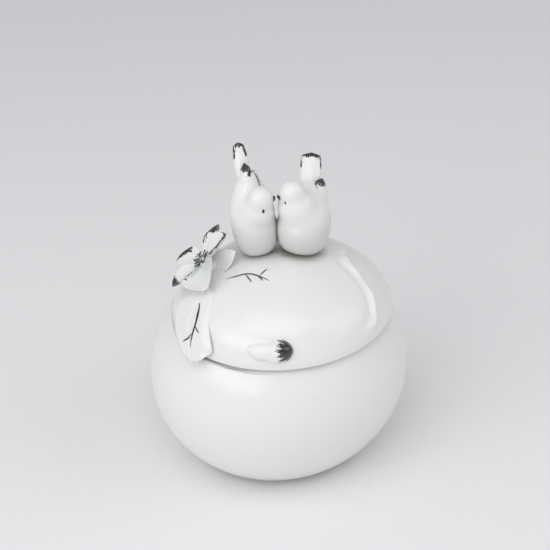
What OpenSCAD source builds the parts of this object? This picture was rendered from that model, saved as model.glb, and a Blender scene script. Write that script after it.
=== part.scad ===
// Round porcelain trinket box. A footed pot is closed by a domed lift-off lid. The lid carries a broad
// leaf, a leaf draped over its rim, a five-petalled flower, a bud and two small birds. Each of them is
// a hand-made piece that is joined to the lid with slip before firing.
// The pot stands on Z = 0 with its axis on Z. The front is towards -Y.

/* [Pot] */
// Greatest radius of the pot
pot_r = 55; // [53:0.5:57]
// Height of the widest level above the table
belly_z = 38; // [37:0.5:39]
// Half height of the oval that the wall follows
belly_half_h = 48.4; // [47.5:0.1:49.5]
// Thickness of the wall
wall = 4; // [3.5:0.1:4.5]
// Height of the flat seat that the lid rests on
seat_z = 65.2; // [64.5:0.1:66]
// Radius of the mouth
mouth_r = 38.5; // [38.4:0.1:39]
// Offset of the hand-cut mouth from the axis, to the right
mouth_x = 1.5; // [0:0.1:2]
// Offset of the mouth from the axis, towards the back
mouth_y = -0.8; // [-1:0.1:0]

/* [Foot] */
// Outer radius of the foot ring
foot_r = 32; // [30:0.5:34]
// Width of the foot ring
foot_w = 4.5; // [3:0.5:6]
// Height of the foot ring
foot_h = 2; // [1.5:0.1:2.5]

/* [Lid] */
// Radius of the rim
lid_r = 46; // [45:0.5:47]
// Rise of the dome above the lip
lid_rise = 24.5; // [23.5:0.1:25.5]
// Thickness of the dome
lid_wall = 3.6; // [3:0.1:4]
// Height of the rounded lip under the rim
lip = 1; // [0.6:0.1:1.4]
// Offset of the dome from the pot's axis, to the right
lid_x = 3.2; // [2.5:0.1:3.5]
// Offset of the dome from the pot's axis, towards the back
lid_y = -1.5; // [-2:0.1:-1]
// Clearance between the locating ring and the mouth
ring_gap = 0.8; // [0.5:0.1:1]
// Depth of the locating ring below the seat
ring_drop = 6; // [4:0.5:7]
// Thickness of the locating ring
ring_wall = 3; // [2.5:0.1:3.5]

/* [Leaves] */
// Thickness of the leaves
leaf_t = 1.4; // [1.2:0.1:1.6]
// Height of the raised edge on the broad leaf
leaf_edge_h = 1.1; // [0.6:0.1:1.5]
// Width of the raised edge on the broad leaf
leaf_edge_w = 2.6; // [2:0.1:3.5]
// Half angle that the draped leaf spans at its widest
drape_span = 17; // [14:0.5:18]

/* [Flower] */
// Length of a petal from the centre to its tip
petal_l = 17; // [15:0.5:18]
// Greatest half width of a petal
petal_w = 5.6; // [5:0.1:6]
// Thickness of a petal
petal_t = 1.1; // [0.9:0.1:1.4]
// Angle between the flower's axis and its petals
petal_open = 77; // [70:1:80]
// Radius of the ball at the heart of the flower
heart_r = 2.6; // [2.2:0.1:3]

/* [Birds] */
// Radius of the left bird's belly
left_belly_r = 10.1; // [9.8:0.1:10.2]
// Radius of the right bird's belly
right_belly_r = 11.2; // [10.8:0.1:11.4]
// Radius of a bird's head
head_r = 5.2; // [5:0.1:5.4]
// Length of a bird's beak
beak_l = 1.5; // [1.2:0.1:1.6]
// Thickness of a tail
tail_t = 3; // [2.4:0.1:3.6]
// Greatest half width of a wing
wing_w = 4.6; // [4:0.1:5]

/* [Hidden] */

glaze = [0.93, 0.94, 0.92];
petal_tint = [0.84, 0.92, 0.90];
ink = [0.06, 0.06, 0.07];
bare_clay = [0.90, 0.88, 0.83];

round_fn = 96;
oval_steps = 22;
edge_drop = 0.8;          // height of the rounding at the seat's outer edge
lid_z = seat_z + lip;     // level of the dome's widest circle
ring_r = mouth_r - ring_gap;
ceiling_z = seat_z - 4.5;
floor_z = foot_h + wall;

heart = [-27.15, -1, 90.4];             // centre of the flower
flower_axis = unit([-0.66, -0.05, 0.75]);
flower_side = unit(cross([0, 0, 1], flower_axis));
flower_top = cross(flower_axis, flower_side);
petal_turn = 284;                       // angle of the first petal about the flower's axis

// A bird is [belly centre, belly radius, head centre, beak tip, tail root, tail tip, half width of the
// tail, tip of the outer wing, tip of the inner wing, side]. The inner wing is the one beside the
// partner. side is 1 where the partner stands to the right, and -1 where it stands to the left.
left_bird = [[-6.5, 4.5, 102.9], left_belly_r, [-2.6, 0, 117.5], [3.7, -0.4, 117.9],
    [-8.6, 12, 121], [-9.9, 19, 133.6], 3.1, [-8.2, 12.5, 126.6], [-5.4, 12.6, 126.2], 1];
right_bird = [[14.8, 3.5, 102.3], right_belly_r, [10.2, 0, 119], [3.9, -0.4, 117.9],
    [18, 10.5, 116.5], [19.5, 19, 127.3], 4.2, [23.3, 11.5, 118.6], [14.2, 13, 118], -1];

function unit(v) = v / norm(v);
function lean(z) = asin((z - belly_z) / belly_half_h);
function pot_radius(z) = pot_r * cos(lean(z));
function oval(a, b, z0, from, to, n) =
    [for (i = [0:n]) let(t = from + (to - from) * i / n) [a * cos(t), z0 + b * sin(t)]];

// A thin closed slab between two grids of points, front and back, of the same size.
module slab(front, back) {
    m = len(front);
    n = len(front[0]);
    all = m * n;
    points = concat([for (row = front) for (p = row) p], [for (row = back) for (p = row) p]);
    skin = [for (i = [0:m - 2]) for (j = [0:n - 2])
        let(a = i * n + j) [a, a + 1, a + n + 1, a + n]];
    rim = concat([for (j = [0:n - 2]) j], [for (i = [0:m - 2]) i * n + n - 1],
        [for (j = [n - 1:-1:1]) (m - 1) * n + j], [for (i = [m - 1:-1:1]) i * n]);
    k = len(rim);
    faces = concat(
        [for (f = skin) [f[3], f[2], f[1], f[0]]],
        [for (f = skin) [for (a = f) a + all]],
        [for (i = [0:k - 1]) [rim[i], rim[(i + 1) % k], rim[(i + 1) % k] + all, rim[i] + all]]);
    polyhedron(points = points, faces = faces, convexity = 6);
}

// A blade runs from root to tip, with its face towards `face`. Its half width follows a sine that is
// full near the middle, its sides rise by `cup` towards the face, and its tip bends by `bend`.
module blade(root, tip, face, half_w, t, cup, bend, blunt = 0.09, m = 12, n = 6) {
    run = tip - root;
    along = unit(run);
    across = unit(cross(face, along));
    up = cross(along, across);
    function half(u) = half_w * pow(sin(180 * (0.05 + (0.95 - blunt) * pow(u, 0.85))), 0.8);
    function at(u, v, lift) = root + u * run + v * half(u) * across
        + (cup * v * v * half(u) / half_w + bend * u * u + lift) * up;
    slab([for (i = [0:m]) [for (j = [-n:n]) at(i / m, j / n, t / 2)]],
        [for (i = [0:m]) [for (j = [-n:n]) at(i / m, j / n, -t / 2)]]);
}

// A solid of revolution whose profile is [radius, height] points, stood along a direction.
module along(origin, direction) {
    d = unit(direction);
    translate(origin)
        rotate([0, acos(d[2]), atan2(d[1], d[0])])
            children();
}

module pot_outside() {
    edge_z = seat_z - edge_drop;
    rotate_extrude($fn = round_fn)
        polygon(concat([[0, foot_h]],
            oval(pot_r, belly_half_h, belly_z, lean(foot_h), lean(edge_z), oval_steps),
            [[pot_radius(edge_z) - 0.9, seat_z], [0, seat_z]]));
}

module pot_inside() {
    b = belly_half_h - wall;
    rotate_extrude($fn = round_fn)
        polygon(concat([[0, floor_z]],
            oval(pot_r - wall, b, belly_z, asin((floor_z - belly_z) / b),
                asin((ceiling_z - belly_z) / b), oval_steps),
            [[0, ceiling_z]]));
}

module pot_bowl() {
    color(glaze)
        difference() {
            pot_outside();
            pot_inside();
            translate([mouth_x, mouth_y, ceiling_z - 1])
                cylinder(r = mouth_r, h = seat_z - ceiling_z + 2, $fn = round_fn);
        }
}

module foot_ring() {
    color(bare_clay)
        rotate_extrude($fn = round_fn)
            polygon([[foot_r - foot_w, 0.4], [foot_r - foot_w + 0.4, 0], [foot_r - 0.4, 0],
                [foot_r, 0.4], [foot_r, foot_h], [foot_r - foot_w, foot_h]]);
}

// The dome's outer solid, grown by a thickness on every side.
module dome(grow) {
    translate([lid_x, lid_y, 0])
        rotate_extrude($fn = round_fn)
            polygon(concat([[0, seat_z], [lid_r + grow - lip, seat_z]],
                oval(lid_r + grow, lid_rise + grow, lid_z, 0, 90, oval_steps)));
}

module lid_hollow() {
    translate([lid_x, lid_y, 0])
        rotate_extrude($fn = round_fn)
            polygon(concat([[0, seat_z - 1], [lid_r - lid_wall, seat_z - 1]],
                oval(lid_r - lid_wall, lid_rise - lid_wall, lid_z, 0, 90, oval_steps)));
}

module lid_shell() {
    color(glaze)
        difference() {
            dome(0);
            lid_hollow();
        }
}

module lid_locating_ring() {
    color(bare_clay)
        intersection() {
            translate([mouth_x, mouth_y, 0])
                rotate_extrude($fn = round_fn)
                    polygon([[ring_r - ring_wall, seat_z - ring_drop], [ring_r, seat_z - ring_drop],
                        [ring_r, seat_z], [lid_r, seat_z], [lid_r, seat_z + 3],
                        [ring_r - ring_wall, seat_z + 3]]);
            union() {
                translate([mouth_x, mouth_y, seat_z - ring_drop - 1])
                    cylinder(r = ring_r, h = ring_drop + 1, $fn = round_fn);
                lid_hollow();
            }
        }
}

// Plan outline of the broad leaf about the dome's centre: it covers the dome at the front, and draws
// in to a rounded back end under the birds. The edge is gently wavy.
function leaf_reach(turn) = 28.5 + 22 / (1 + exp((turn - 66) / 8)) + 0.5 * sin(9 * turn);
function leaf_outline(shrink) =
    [for (a = [-180:6:174]) let(r = leaf_reach(abs(a)) - shrink) [r * sin(a), -r * cos(a)]];

module leaf_layer(inner, outer) {
    intersection() {
        difference() {
            dome(outer);
            dome(inner);
        }
        translate([lid_x, lid_y, lid_z + 1.5])
            linear_extrude(lid_rise + 4)
                children();
    }
}

module broad_leaf() {
    color(glaze)
        union() {
            leaf_layer(0, leaf_t)
                polygon(leaf_outline(0));
            leaf_layer(leaf_t - 0.2, leaf_t + leaf_edge_h)
                intersection() {
                    difference() {
                        polygon(leaf_outline(0.3));
                        polygon(leaf_outline(leaf_edge_w));
                    }
                    translate([15, -28])
                        square([40, 52]);
                }
        }
}

// The draped leaf runs down the dome from the flower, over the rim, and lies just above the shoulder.
// u is the place along it, from 0 under the flower to 1 at the tip, and v is the place across it.
function drape_reach(u) = u < 0.62
    ? lid_r * cos(48 - 36 * u / 0.62)
    : let(q = (u - 0.62) / 0.38) lid_r * cos(12) + 2.2 * q + 2.6 * q * q;
function drape_height(u) = u < 0.62
    ? lid_z + lid_rise * sin(48 - 36 * u / 0.62)
    : let(q = (u - 0.62) / 0.38) lid_z + lid_rise * sin(12) - 8.2 * q + 1.6 * q * q;
function drape_slope(u) = u < 0.62
    ? atan2(lid_r * sin(48 - 36 * u / 0.62), lid_rise * cos(48 - 36 * u / 0.62))
    : 10 + 35 * (u - 0.62) / 0.38;
function drape_half(u) = drape_span * pow(sin(180 * (0.12 + 0.84 * u)), 0.75);
function drape_point(u, v, lift) =
    let(a = -156 + 12 * u + v * drape_half(u), r = drape_reach(u) + lift * cos(drape_slope(u)))
    [lid_x + r * cos(a), lid_y + r * sin(a), drape_height(u) + lift * sin(drape_slope(u))];

module draped_leaf() {
    m = 16;
    n = 6;
    edge = 0.8;
    under = leaf_t - 0.3;
    function lift(v) = under + leaf_t + edge * pow(abs(v), 3);
    color(glaze)
        slab([for (i = [0:m]) [for (j = [-n:n]) drape_point(i / m, j / n, lift(j / n))]],
            [for (i = [0:m]) [for (j = [-n:n]) drape_point(i / m, j / n, under)]]);
}

module back_leaf() {
    color(glaze)
        blade([-25, -1, 86.5], [-12.5, -3, 96.5], [-0.5, -0.6, 0.6], 5, leaf_t, 1.2, 0.6);
}

// The calyx is a short flared stem that carries the flower above the dome.
module flower_calyx() {
    color(glaze)
        difference() {
            along(heart - 9.5 * flower_axis, flower_axis)
                rotate_extrude($fn = 48)
                    polygon([[0, 0], [4.4, 0], [3, 3], [2.5, 5], [3.4, 7.4], [0, 8.2]]);
            dome(0);
        }
}

module flower_heart() {
    color(petal_tint)
        translate(heart)
            sphere(r = heart_r, $fn = 48);
}

// Seven round-headed stamens stand on the heart, one in the middle and six about it.
module stamens() {
    stem_r = 0.35;
    head = 0.75;
    color(ink)
        for (i = [0:6]) {
            spread = i == 0 ? 0 : 34;
            turn = 60 * i;
            d = cos(spread) * flower_axis
                + sin(spread) * (cos(turn) * flower_side + sin(turn) * flower_top);
            along(heart + heart_r * d, d)
                union() {
                    translate([0, 0, -0.2])
                        cylinder(r = stem_r, h = 2.2, $fn = 16);
                    translate([0, 0, 2.4])
                        sphere(r = head, $fn = 24);
                }
        }
}

// Petal k stands k fifths of a turn about the flower's axis.
module petal(k) {
    turn = petal_turn + 72 * k;
    d = cos(petal_open) * flower_axis
        + sin(petal_open) * (cos(turn) * flower_side + sin(turn) * flower_top);
    color(petal_tint)
        blade(heart + 1.6 * d, heart + petal_l * d, flower_axis, petal_w, petal_t, 2.2, 0.4);
}

module petal_lower_left() { petal(0); }
module petal_front() { petal(1); }
module petal_right() { petal(2); }
module petal_upper() { petal(3); }
module petal_upper_left() { petal(4); }

// The bud lies along the front of the dome with its closed end to the right, cut to fit the leaf.
bud_start = [-13, -42.6, 74.2];
bud_end = [6, -46.2, 74.6];
bud_r = 4.8;

module bud() {
    span = norm(bud_end - bud_start);
    color(glaze)
        difference() {
            along(bud_start, bud_end - bud_start)
                rotate_extrude($fn = 48)
                    polygon([for (i = [0:14]) let(u = i / 14)
                        [i == 0 || i == 14 ? 0 : bud_r * pow(sin(180 * pow(u, 1.25)), 0.7), u * span]]);
            dome(leaf_t);
        }
}

module bud_wrap_petal() {
    color(glaze)
        blade([-12, -44.6, 77], [0.5, -49.4, 77.8], [0, -0.72, 0.69], 3.6, 1, -1.4, -0.6);
}

// Belly and back are one egg that leans towards the tail. The neck and the head are balls.
module bird_body(bird) {
    belly = bird[0];
    r = bird[1];
    head = bird[2];
    lean_dir = bird[4] - belly;
    below = 12.4;
    above = norm(lean_dir) + 3.5;
    color(glaze)
        difference() {
            union() {
                along(belly, lean_dir)
                    rotate_extrude($fn = 64)
                        polygon([for (i = [0:24]) let(h = -below + (below + above) * i / 24,
                            w = h < 0 ? h / below : h / above)
                            [i == 0 || i == 24 ? 0 : r * pow(1 - w * w, h < 0 ? 0.5 : 0.8), h]]);
                translate(belly + 0.58 * (head - belly))
                    sphere(r = 0.72 * r, $fn = 64);
                translate(head)
                    sphere(r = head_r, $fn = 64);
            }
            dome(leaf_t);
        }
}

module bird_beak(bird) {
    head = bird[2];
    tip = bird[3];
    d = unit(tip - head);
    color(ink)
        along(tip - (beak_l + 0.6) * d, d)
            cylinder(r1 = 1.25, r2 = 0.25, h = beak_l + 0.6, $fn = 24);
}

module bird_tail(bird) {
    root = bird[4] - 0.35 * (bird[5] - bird[4]);
    color(glaze)
        blade(root, bird[5], [0, -0.9, 0.4], bird[6], tail_t, -0.5, 0.3, 0.28);
}

// The blade of a wing stands out of the bird's side, bows round it, and ends free beside the tail.
// side is 1 for the outer wing and -1 for the inner wing.
module bird_wing(bird, side) {
    out = -side * bird[9];
    root = bird[0] + [out * 0.86 * bird[1], -2.5, 1];
    tip = side > 0 ? bird[7] : bird[8];
    color(glaze)
        blade(root, tip, [out, -0.45, 0.2], wing_w, 1.8, -1.6, -0.8, 0.14);
}

module left_bird_body() { bird_body(left_bird); }
module left_bird_beak() { bird_beak(left_bird); }
module left_bird_tail() { bird_tail(left_bird); }
module left_bird_outer_wing() { bird_wing(left_bird, 1); }
module left_bird_inner_wing() { bird_wing(left_bird, -1); }
module right_bird_body() { bird_body(right_bird); }
module right_bird_beak() { bird_beak(right_bird); }
module right_bird_tail() { bird_tail(right_bird); }
module right_bird_outer_wing() { bird_wing(right_bird, 1); }
module right_bird_inner_wing() { bird_wing(right_bird, -1); }

pot_bowl();
foot_ring();
lid_shell();
lid_locating_ring();
broad_leaf();
draped_leaf();
back_leaf();
flower_calyx();
flower_heart();
stamens();
petal_upper();
petal_upper_left();
petal_lower_left();
petal_front();
petal_right();
bud();
bud_wrap_petal();
left_bird_body();
left_bird_beak();
left_bird_tail();
left_bird_outer_wing();
left_bird_inner_wing();
right_bird_body();
right_bird_beak();
right_bird_tail();
right_bird_outer_wing();
right_bird_inner_wing();
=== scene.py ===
"""Round glazed porcelain trinket box: smooth pot and domed lid, leaves, flower, bud and a pair of birds.

Every shape is worked out in millimetres in the frame of the CAD model, and is put into its mesh in metres.
The front faces -Y and the pot stands on Z = 0.
"""
import math

import bpy
import numpy as np
from mathutils import Matrix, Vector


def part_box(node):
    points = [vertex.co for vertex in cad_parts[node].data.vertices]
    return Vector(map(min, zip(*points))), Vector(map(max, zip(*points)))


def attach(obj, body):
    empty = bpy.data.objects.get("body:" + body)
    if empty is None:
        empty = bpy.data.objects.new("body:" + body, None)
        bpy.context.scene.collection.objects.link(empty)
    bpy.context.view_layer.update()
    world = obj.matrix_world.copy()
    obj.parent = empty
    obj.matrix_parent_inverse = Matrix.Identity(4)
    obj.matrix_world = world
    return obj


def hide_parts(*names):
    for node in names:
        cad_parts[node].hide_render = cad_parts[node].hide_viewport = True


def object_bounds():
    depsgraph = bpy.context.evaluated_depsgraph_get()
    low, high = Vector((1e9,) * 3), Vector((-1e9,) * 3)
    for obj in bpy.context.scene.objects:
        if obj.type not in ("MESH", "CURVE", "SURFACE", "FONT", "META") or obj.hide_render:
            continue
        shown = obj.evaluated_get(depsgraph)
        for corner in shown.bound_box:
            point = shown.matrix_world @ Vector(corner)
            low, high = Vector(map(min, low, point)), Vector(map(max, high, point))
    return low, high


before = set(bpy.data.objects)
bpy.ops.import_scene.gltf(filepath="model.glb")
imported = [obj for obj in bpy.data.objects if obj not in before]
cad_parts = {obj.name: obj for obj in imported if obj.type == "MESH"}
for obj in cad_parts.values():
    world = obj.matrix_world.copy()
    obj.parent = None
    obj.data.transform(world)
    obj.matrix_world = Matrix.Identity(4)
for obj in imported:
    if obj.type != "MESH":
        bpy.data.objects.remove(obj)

bl_info = {
    "name": "Porcelain Trinket Box",
    "version": (1, 0, 0),
    "blender": (4, 5, 0),
    "location": "View3D > Sidebar > Trinket Box",
    "description": "Builds a lidded porcelain trinket box with birds, a flower and leaves on its lid",
    "category": "Add Mesh",
}

MM = 0.001
CAD_BOX = [list(corner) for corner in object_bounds()]


def corners(node):
    """Lowest and highest corner of a CAD node, in millimetres."""
    low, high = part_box(node)
    return np.array(low) / MM, np.array(high) / MM


# ------------------------------------------------------------------------------------------------
# Places and sizes that follow from the CAD model, in millimetres

POT_LOW, POT_HIGH = corners("pot_bowl")
FOOT_LOW, FOOT_HIGH = corners("foot_ring")
LID_LOW, LID_HIGH = corners("lid_shell")
RING_LOW, RING_HIGH = corners("lid_locating_ring")
HEART_LOW, HEART_HIGH = corners("flower_heart")

SEAT_Z = POT_HIGH[2]
BASE_Z = POT_LOW[2]
BELLY_Z = 38.0                       # level of the pot's greatest width
BELLY_HALF_H = 48.4                  # half height of the oval that the wall follows
CEILING_Z = SEAT_Z - 4.5             # underside of the pot's inward lip
MOUTH_R = 38.5
MOUTH = np.array([1.5, -0.8])        # centre of the hand-cut mouth, off the axis
POT_LEAN = 0.042                     # sideways lean of the pot's wall, per unit of height
FOOT_WIDTH = 4.5                     # from the foot ring's outside to its inside
FOOT_SUNK = 0.4                      # depth of the foot ring's top in the pot's base
LIP = 1.0                            # height of the rounded lip under the lid's rim
RIM_GAP = 0.5                        # opening under the lid's rim, outside the part that it rests on
REST_IN = 2.4                        # from the lid's rim in to the part that it rests on
RING_PLAY = 0.8                      # from the locating ring out to the mouth
RING_WALL = 3.0
AROUND = 192                         # points round each of the pieces turned about the box's axis
LID_Z = SEAT_Z + LIP                 # level of the dome's widest circle
DOME = (LID_LOW[:2] + LID_HIGH[:2]) / 2
HEART = (HEART_LOW + HEART_HIGH) / 2
HEART_R = (HEART_HIGH[2] - HEART_LOW[2]) / 2

# The broad leaf's edge, seen from above
LEAF_R = 28.5                        # radius behind and beside
LEAF_SWELL = 22.0                    # added towards the front
LEAF_SHOULDER = 66.0                 # where half of it has been added, in degrees from the front

# The draped leaf runs from its start, above the rim, to its tip, in places u from 0 to 1
DRAPE_TURN = -156.0                  # where it starts, in degrees about the dome's axis
DRAPE_SWEEP = 18.0                   # how far it turns from there to its tip
DRAPE_RISE = 48.0                    # how far above the rim it starts, in degrees
DRAPE_FALL = 36.0                    # how much of that it has come down by the rim
DRAPE_RIM = 0.62                     # the place u from which it hangs free

# A bird is its belly centre and radius, head centre, beak tip, tail root and tip, half width of the
# tail and how much of its end is cut blunt, tips of the outer and the inner wing, place and radius of
# the eye, and side: 1 where its partner stands to the right.
HEAD_R = 5.5
EGG_LOW = 12.4                       # from a belly's centre to the bottom of the egg
BEAK = 0.6                           # half length of a beak
INNER_LINE = 0.1                     # place across the left inner wing of the black line down it
BIRDS = {
    "left_bird": dict(
        belly=(-5.9, 4.5, 102.9), belly_r=9.5, head=(-2.6, 0, 118.0), beak=(3.4, -0.4, 117.7),
        tail_root=(-8.6, 12, 121), tail_tip=(-10.4, 19, 134.4), tail_w=3.1, tail_blunt=0.20,
        outer_tip=(-8.9, 12.5, 128.3), inner_tip=(-4.6, 11.6, 125.4),
        eye=(-1.6, -5, 114.9), eye_r=0.55, side=1),
    "right_bird": dict(
        belly=(14.3, 3.5, 102.3), belly_r=11.2, head=(10.4, 0, 119.7), beak=(4.3, -0.4, 117.9),
        tail_root=(18, 10.5, 116.5), tail_tip=(19.5, 19, 127.3), tail_w=4.4, tail_blunt=0.30,
        outer_tip=(23.8, 11.5, 119.2), inner_tip=(14.2, 13, 116.5),
        eye=(6.4, -5, 118.6), eye_r=0.4, side=-1),
}

# A petal is its fifth of a turn, then how far it strays in turn and in opening (degrees), its length,
# half width, cup and bend (mm). Black covers it for tip (mm) from its tip, and for band (mm) inside one
# edge, 1 or -1, along the stretch run, measured from the tip (mm).
PETALS = {
    "petal_lower_left": dict(fifth=0, stray=(0.1, 1.9), long=17, half=5.6, cup=2.4, bend=0.8,
                             tip=3.6, edge=0, band=0, run=(0, 10)),
    "petal_front": dict(fifth=1, stray=(-3.0, 12.4), long=19.2, half=8.6, cup=4.8, bend=-0.8,
                        tip=0, edge=-1, band=0.7, run=(12.5, 18.5)),
    "petal_right": dict(fifth=2, stray=(11.8, 1.8), long=17.3, half=5.0, cup=2.8, bend=1.2,
                        tip=1.6, edge=-1, band=0.9, run=(0, 10)),
    "petal_upper": dict(fifth=3, stray=(-3.1, 7.2), long=18, half=4.8, cup=2.0, bend=0.8,
                        tip=4.2, edge=1, band=0.7, run=(0, 9)),
    "petal_upper_left": dict(fifth=4, stray=(11.5, 0.3), long=17, half=5.9, cup=1.9, bend=0.6,
                             tip=1.0, edge=-1, band=2.6, run=(0, 7.5)),
}
PETAL_TURN = 284.0                   # turn of the first petal about the flower's axis, in degrees
PETAL_OPENING = 77.0                 # angle between a petal and that axis, in degrees
STAMENS = 24
FLOWER_AXIS = np.array([-0.66, -0.05, 0.75]) / np.linalg.norm([-0.66, -0.05, 0.75])
FLOWER_SIDE = np.cross([0, 0, 1], FLOWER_AXIS) / np.linalg.norm(np.cross([0, 0, 1], FLOWER_AXIS))
FLOWER_TOP = np.cross(FLOWER_AXIS, FLOWER_SIDE)

BUD_START = np.array([-11, -39.8, 70.4])
BUD_END = np.array([6, -46.2, 74.6])
BUD_R = 5.1
BUD_LENGTH = 19.0                    # length that the bud's brushwork is measured along
BUD_BLACK = 0.775                    # share of the bud's length at which its black begins
BRUSH_FADE = 2.4                     # width over which a brushed border goes from white to black


# ------------------------------------------------------------------------------------------------
# What a user may change

class TrinketSizes(bpy.types.PropertyGroup):
    """Sizes of the box. The defaults come from the CAD model."""
    pot_radius: bpy.props.FloatProperty(
        name="Pot radius", description="Greatest radius of the pot", unit="LENGTH",
        default=float(POT_HIGH[0] - POT_LOW[0]) / 2 * MM)
    pot_wall: bpy.props.FloatProperty(
        name="Pot wall", description="Thickness of the pot's wall", unit="LENGTH", default=0.004)
    lid_radius: bpy.props.FloatProperty(
        name="Lid radius", description="Radius of the lid's rim", unit="LENGTH",
        default=float(LID_HIGH[0] - LID_LOW[0]) / 2 * MM)
    lid_rise: bpy.props.FloatProperty(
        name="Lid rise", description="Rise of the dome above its lip", unit="LENGTH",
        default=float(LID_HIGH[2] - LID_Z) * MM)
    lid_wall: bpy.props.FloatProperty(
        name="Lid wall", description="Thickness of the dome", unit="LENGTH", default=0.0036)
    leaf_thickness: bpy.props.FloatProperty(
        name="Leaf thickness", description="Thickness of the leaves", unit="LENGTH", default=0.0014)
    petal_thickness: bpy.props.FloatProperty(
        name="Petal thickness", description="Thickness of a petal", unit="LENGTH", default=0.0011)
    line_radius: bpy.props.FloatProperty(
        name="Brush line", description="Half width of the painted sprigs where they are boldest",
        unit="LENGTH", default=0.00032)


class TrinketFinish(bpy.types.PropertyGroup):
    """Colours and gloss of the glazes, the bare clay and the black brushwork."""
    glaze: bpy.props.FloatVectorProperty(
        name="Glaze", description="White of the clear-glazed porcelain", subtype="COLOR",
        default=(0.835, 0.833, 0.818), min=0, max=1)
    pooled: bpy.props.FloatVectorProperty(
        name="Pooled glaze", description="Pale green-blue where the glaze runs thick",
        subtype="COLOR", default=(0.765, 0.82, 0.80), min=0, max=1)
    ink: bpy.props.FloatVectorProperty(
        name="Black", description="Black of the brushwork", subtype="COLOR",
        default=(0.012, 0.012, 0.011), min=0, max=1)
    clay: bpy.props.FloatVectorProperty(
        name="Bare clay", description="Unglazed porcelain of the rings", subtype="COLOR",
        default=(0.74, 0.71, 0.64), min=0, max=1)
    gloss: bpy.props.FloatProperty(
        name="Gloss", description="Strength of the clear coat on the white; on black it is full",
        subtype="FACTOR", default=0.35, min=0, max=1)
    thin_gloss: bpy.props.FloatProperty(
        name="Line gloss", description="Strength of the clear coat on lines, eyes, beaks and stamens",
        subtype="FACTOR", default=0.3, min=0, max=1)


class TrinketStage(bpy.types.PropertyGroup):
    """Camera, floor and lights."""
    lens: bpy.props.FloatProperty(
        name="Lens", description="Focal length on a 36 mm wide sensor", unit="CAMERA", default=110.2)
    distance: bpy.props.FloatProperty(
        name="Distance", description="From the camera to the middle of the picture",
        unit="LENGTH", default=0.7)
    elevation: bpy.props.FloatProperty(
        name="Elevation", description="How far the camera looks down", unit="ROTATION",
        default=math.radians(32))
    roll: bpy.props.FloatProperty(
        name="Roll", description="How far the camera is tipped about its line of sight",
        unit="ROTATION", default=math.radians(4))
    key_power: bpy.props.FloatProperty(
        name="Key light", description="Power that the overhead and front lights are shares of",
        unit="POWER", default=3.0)
    fill_power: bpy.props.FloatProperty(
        name="Fill light", description="Power that the side lights are shares of",
        unit="POWER", default=3.0)
    sky: bpy.props.FloatProperty(
        name="Room light", description="Brightness of the even light all round", default=0.49)
    floor: bpy.props.FloatVectorProperty(
        name="Floor", description="Colour of the floor", subtype="COLOR",
        default=(0.895, 0.892, 0.897), min=0, max=1)


# ------------------------------------------------------------------------------------------------
# Arithmetic shared by the shapes

def unit(v):
    """Vectors brought to length 1 along the last axis."""
    v = np.asarray(v, float)
    return v / np.linalg.norm(v, axis=-1, keepdims=True)


def step(low, high, x):
    """0 below low, 1 above high, and a smooth S between them: 3t^2 - 2t^3."""
    t = np.clip((x - low) / (high - low), 0, 1)
    return t * t * (3 - 2 * t)


def hump(x, middle, width):
    """A bell of height 1 at middle: e to the minus ((x - middle) / width) squared."""
    return np.exp(-((x - middle) / width) ** 2)


def evened(line, spacing, closed=False):
    """The same line with its points at an even spacing along its length."""
    if closed:
        line = np.vstack([line, line[:1]])
    gaps = np.linalg.norm(np.diff(line, axis=0), axis=1)
    along = np.concatenate([[0], np.cumsum(gaps)])
    count = max(int(along[-1] / spacing), 8)
    at = np.linspace(0, along[-1], count + 1)
    even = np.stack([np.interp(at, along, line[:, k]) for k in range(line.shape[1])], -1)
    return even[:-1] if closed else even


def softened(line, spacing, spread, closed=False):
    """An evened line whose corners are rounded by a bell-shaped running mean as wide as spread."""
    even = evened(line, spacing, closed)
    reach = max(int(3 * spread / spacing), 1)
    bell = np.exp(-0.5 * (np.arange(-reach, reach + 1) * spacing / spread) ** 2)
    bell = bell / bell.sum()
    if closed:
        padded = np.vstack([even[-reach:], even, even[:reach]])
    else:
        before = 2 * even[0] - even[reach:0:-1]
        after = 2 * even[-1] - even[-2:-reach - 2:-1]
        padded = np.vstack([before, even, after])
    return np.stack([np.convolve(padded[:, k], bell, "valid") for k in range(line.shape[1])], -1)


def arc(a, b, z0, start, end, count=60):
    """Points of the oval (a cos t, z0 + b sin t) for t from start to end, in degrees."""
    t = np.radians(np.linspace(start, end, count))
    return np.stack([a * np.cos(t), z0 + b * np.sin(t)], -1)


def spline(points, count):
    """A smooth line through given points: each stretch is a Catmull-Rom cubic."""
    p = np.asarray(points, float)
    p = np.vstack([2 * p[0] - p[1], p, 2 * p[-1] - p[-2]])
    at = np.linspace(0, len(p) - 3 - 1e-9, count)
    k = at.astype(int)
    t = (at - k)[:, None]
    a, b, c, d = p[k], p[k + 1], p[k + 2], p[k + 3]
    return 0.5 * (2 * b + (c - a) * t + (2 * a - 5 * b + 4 * c - d) * t ** 2
                  + (3 * b - a - 3 * c + d) * t ** 3)


# ------------------------------------------------------------------------------------------------
# Closed surfaces from grids of points

def outward(shape):
    """The shape with its faces turned the other way if the volume they enclose comes out negative."""
    points, quads, tris, fields = shape
    all_tris = np.vstack([quads[:, [0, 1, 2]], quads[:, [0, 2, 3]], tris])
    a, b, c = (points[all_tris[:, k]] for k in range(3))
    if np.einsum("ij,ij->", a, np.cross(b, c)) < 0:
        quads, tris = quads[:, ::-1], tris[:, ::-1]
    return points, quads, tris, fields


def grid_quads(m, n, closed_rows):
    """Quads of m rows of n points, each row closed on itself; the last row meets the first if asked."""
    i, j = np.meshgrid(np.arange(m if closed_rows else m - 1), np.arange(n), indexing="ij")
    up, right = (i + 1) % m, (j + 1) % n
    return np.stack([i * n + j, i * n + right, up * n + right, up * n + j], -1).reshape(-1, 4)


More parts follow.
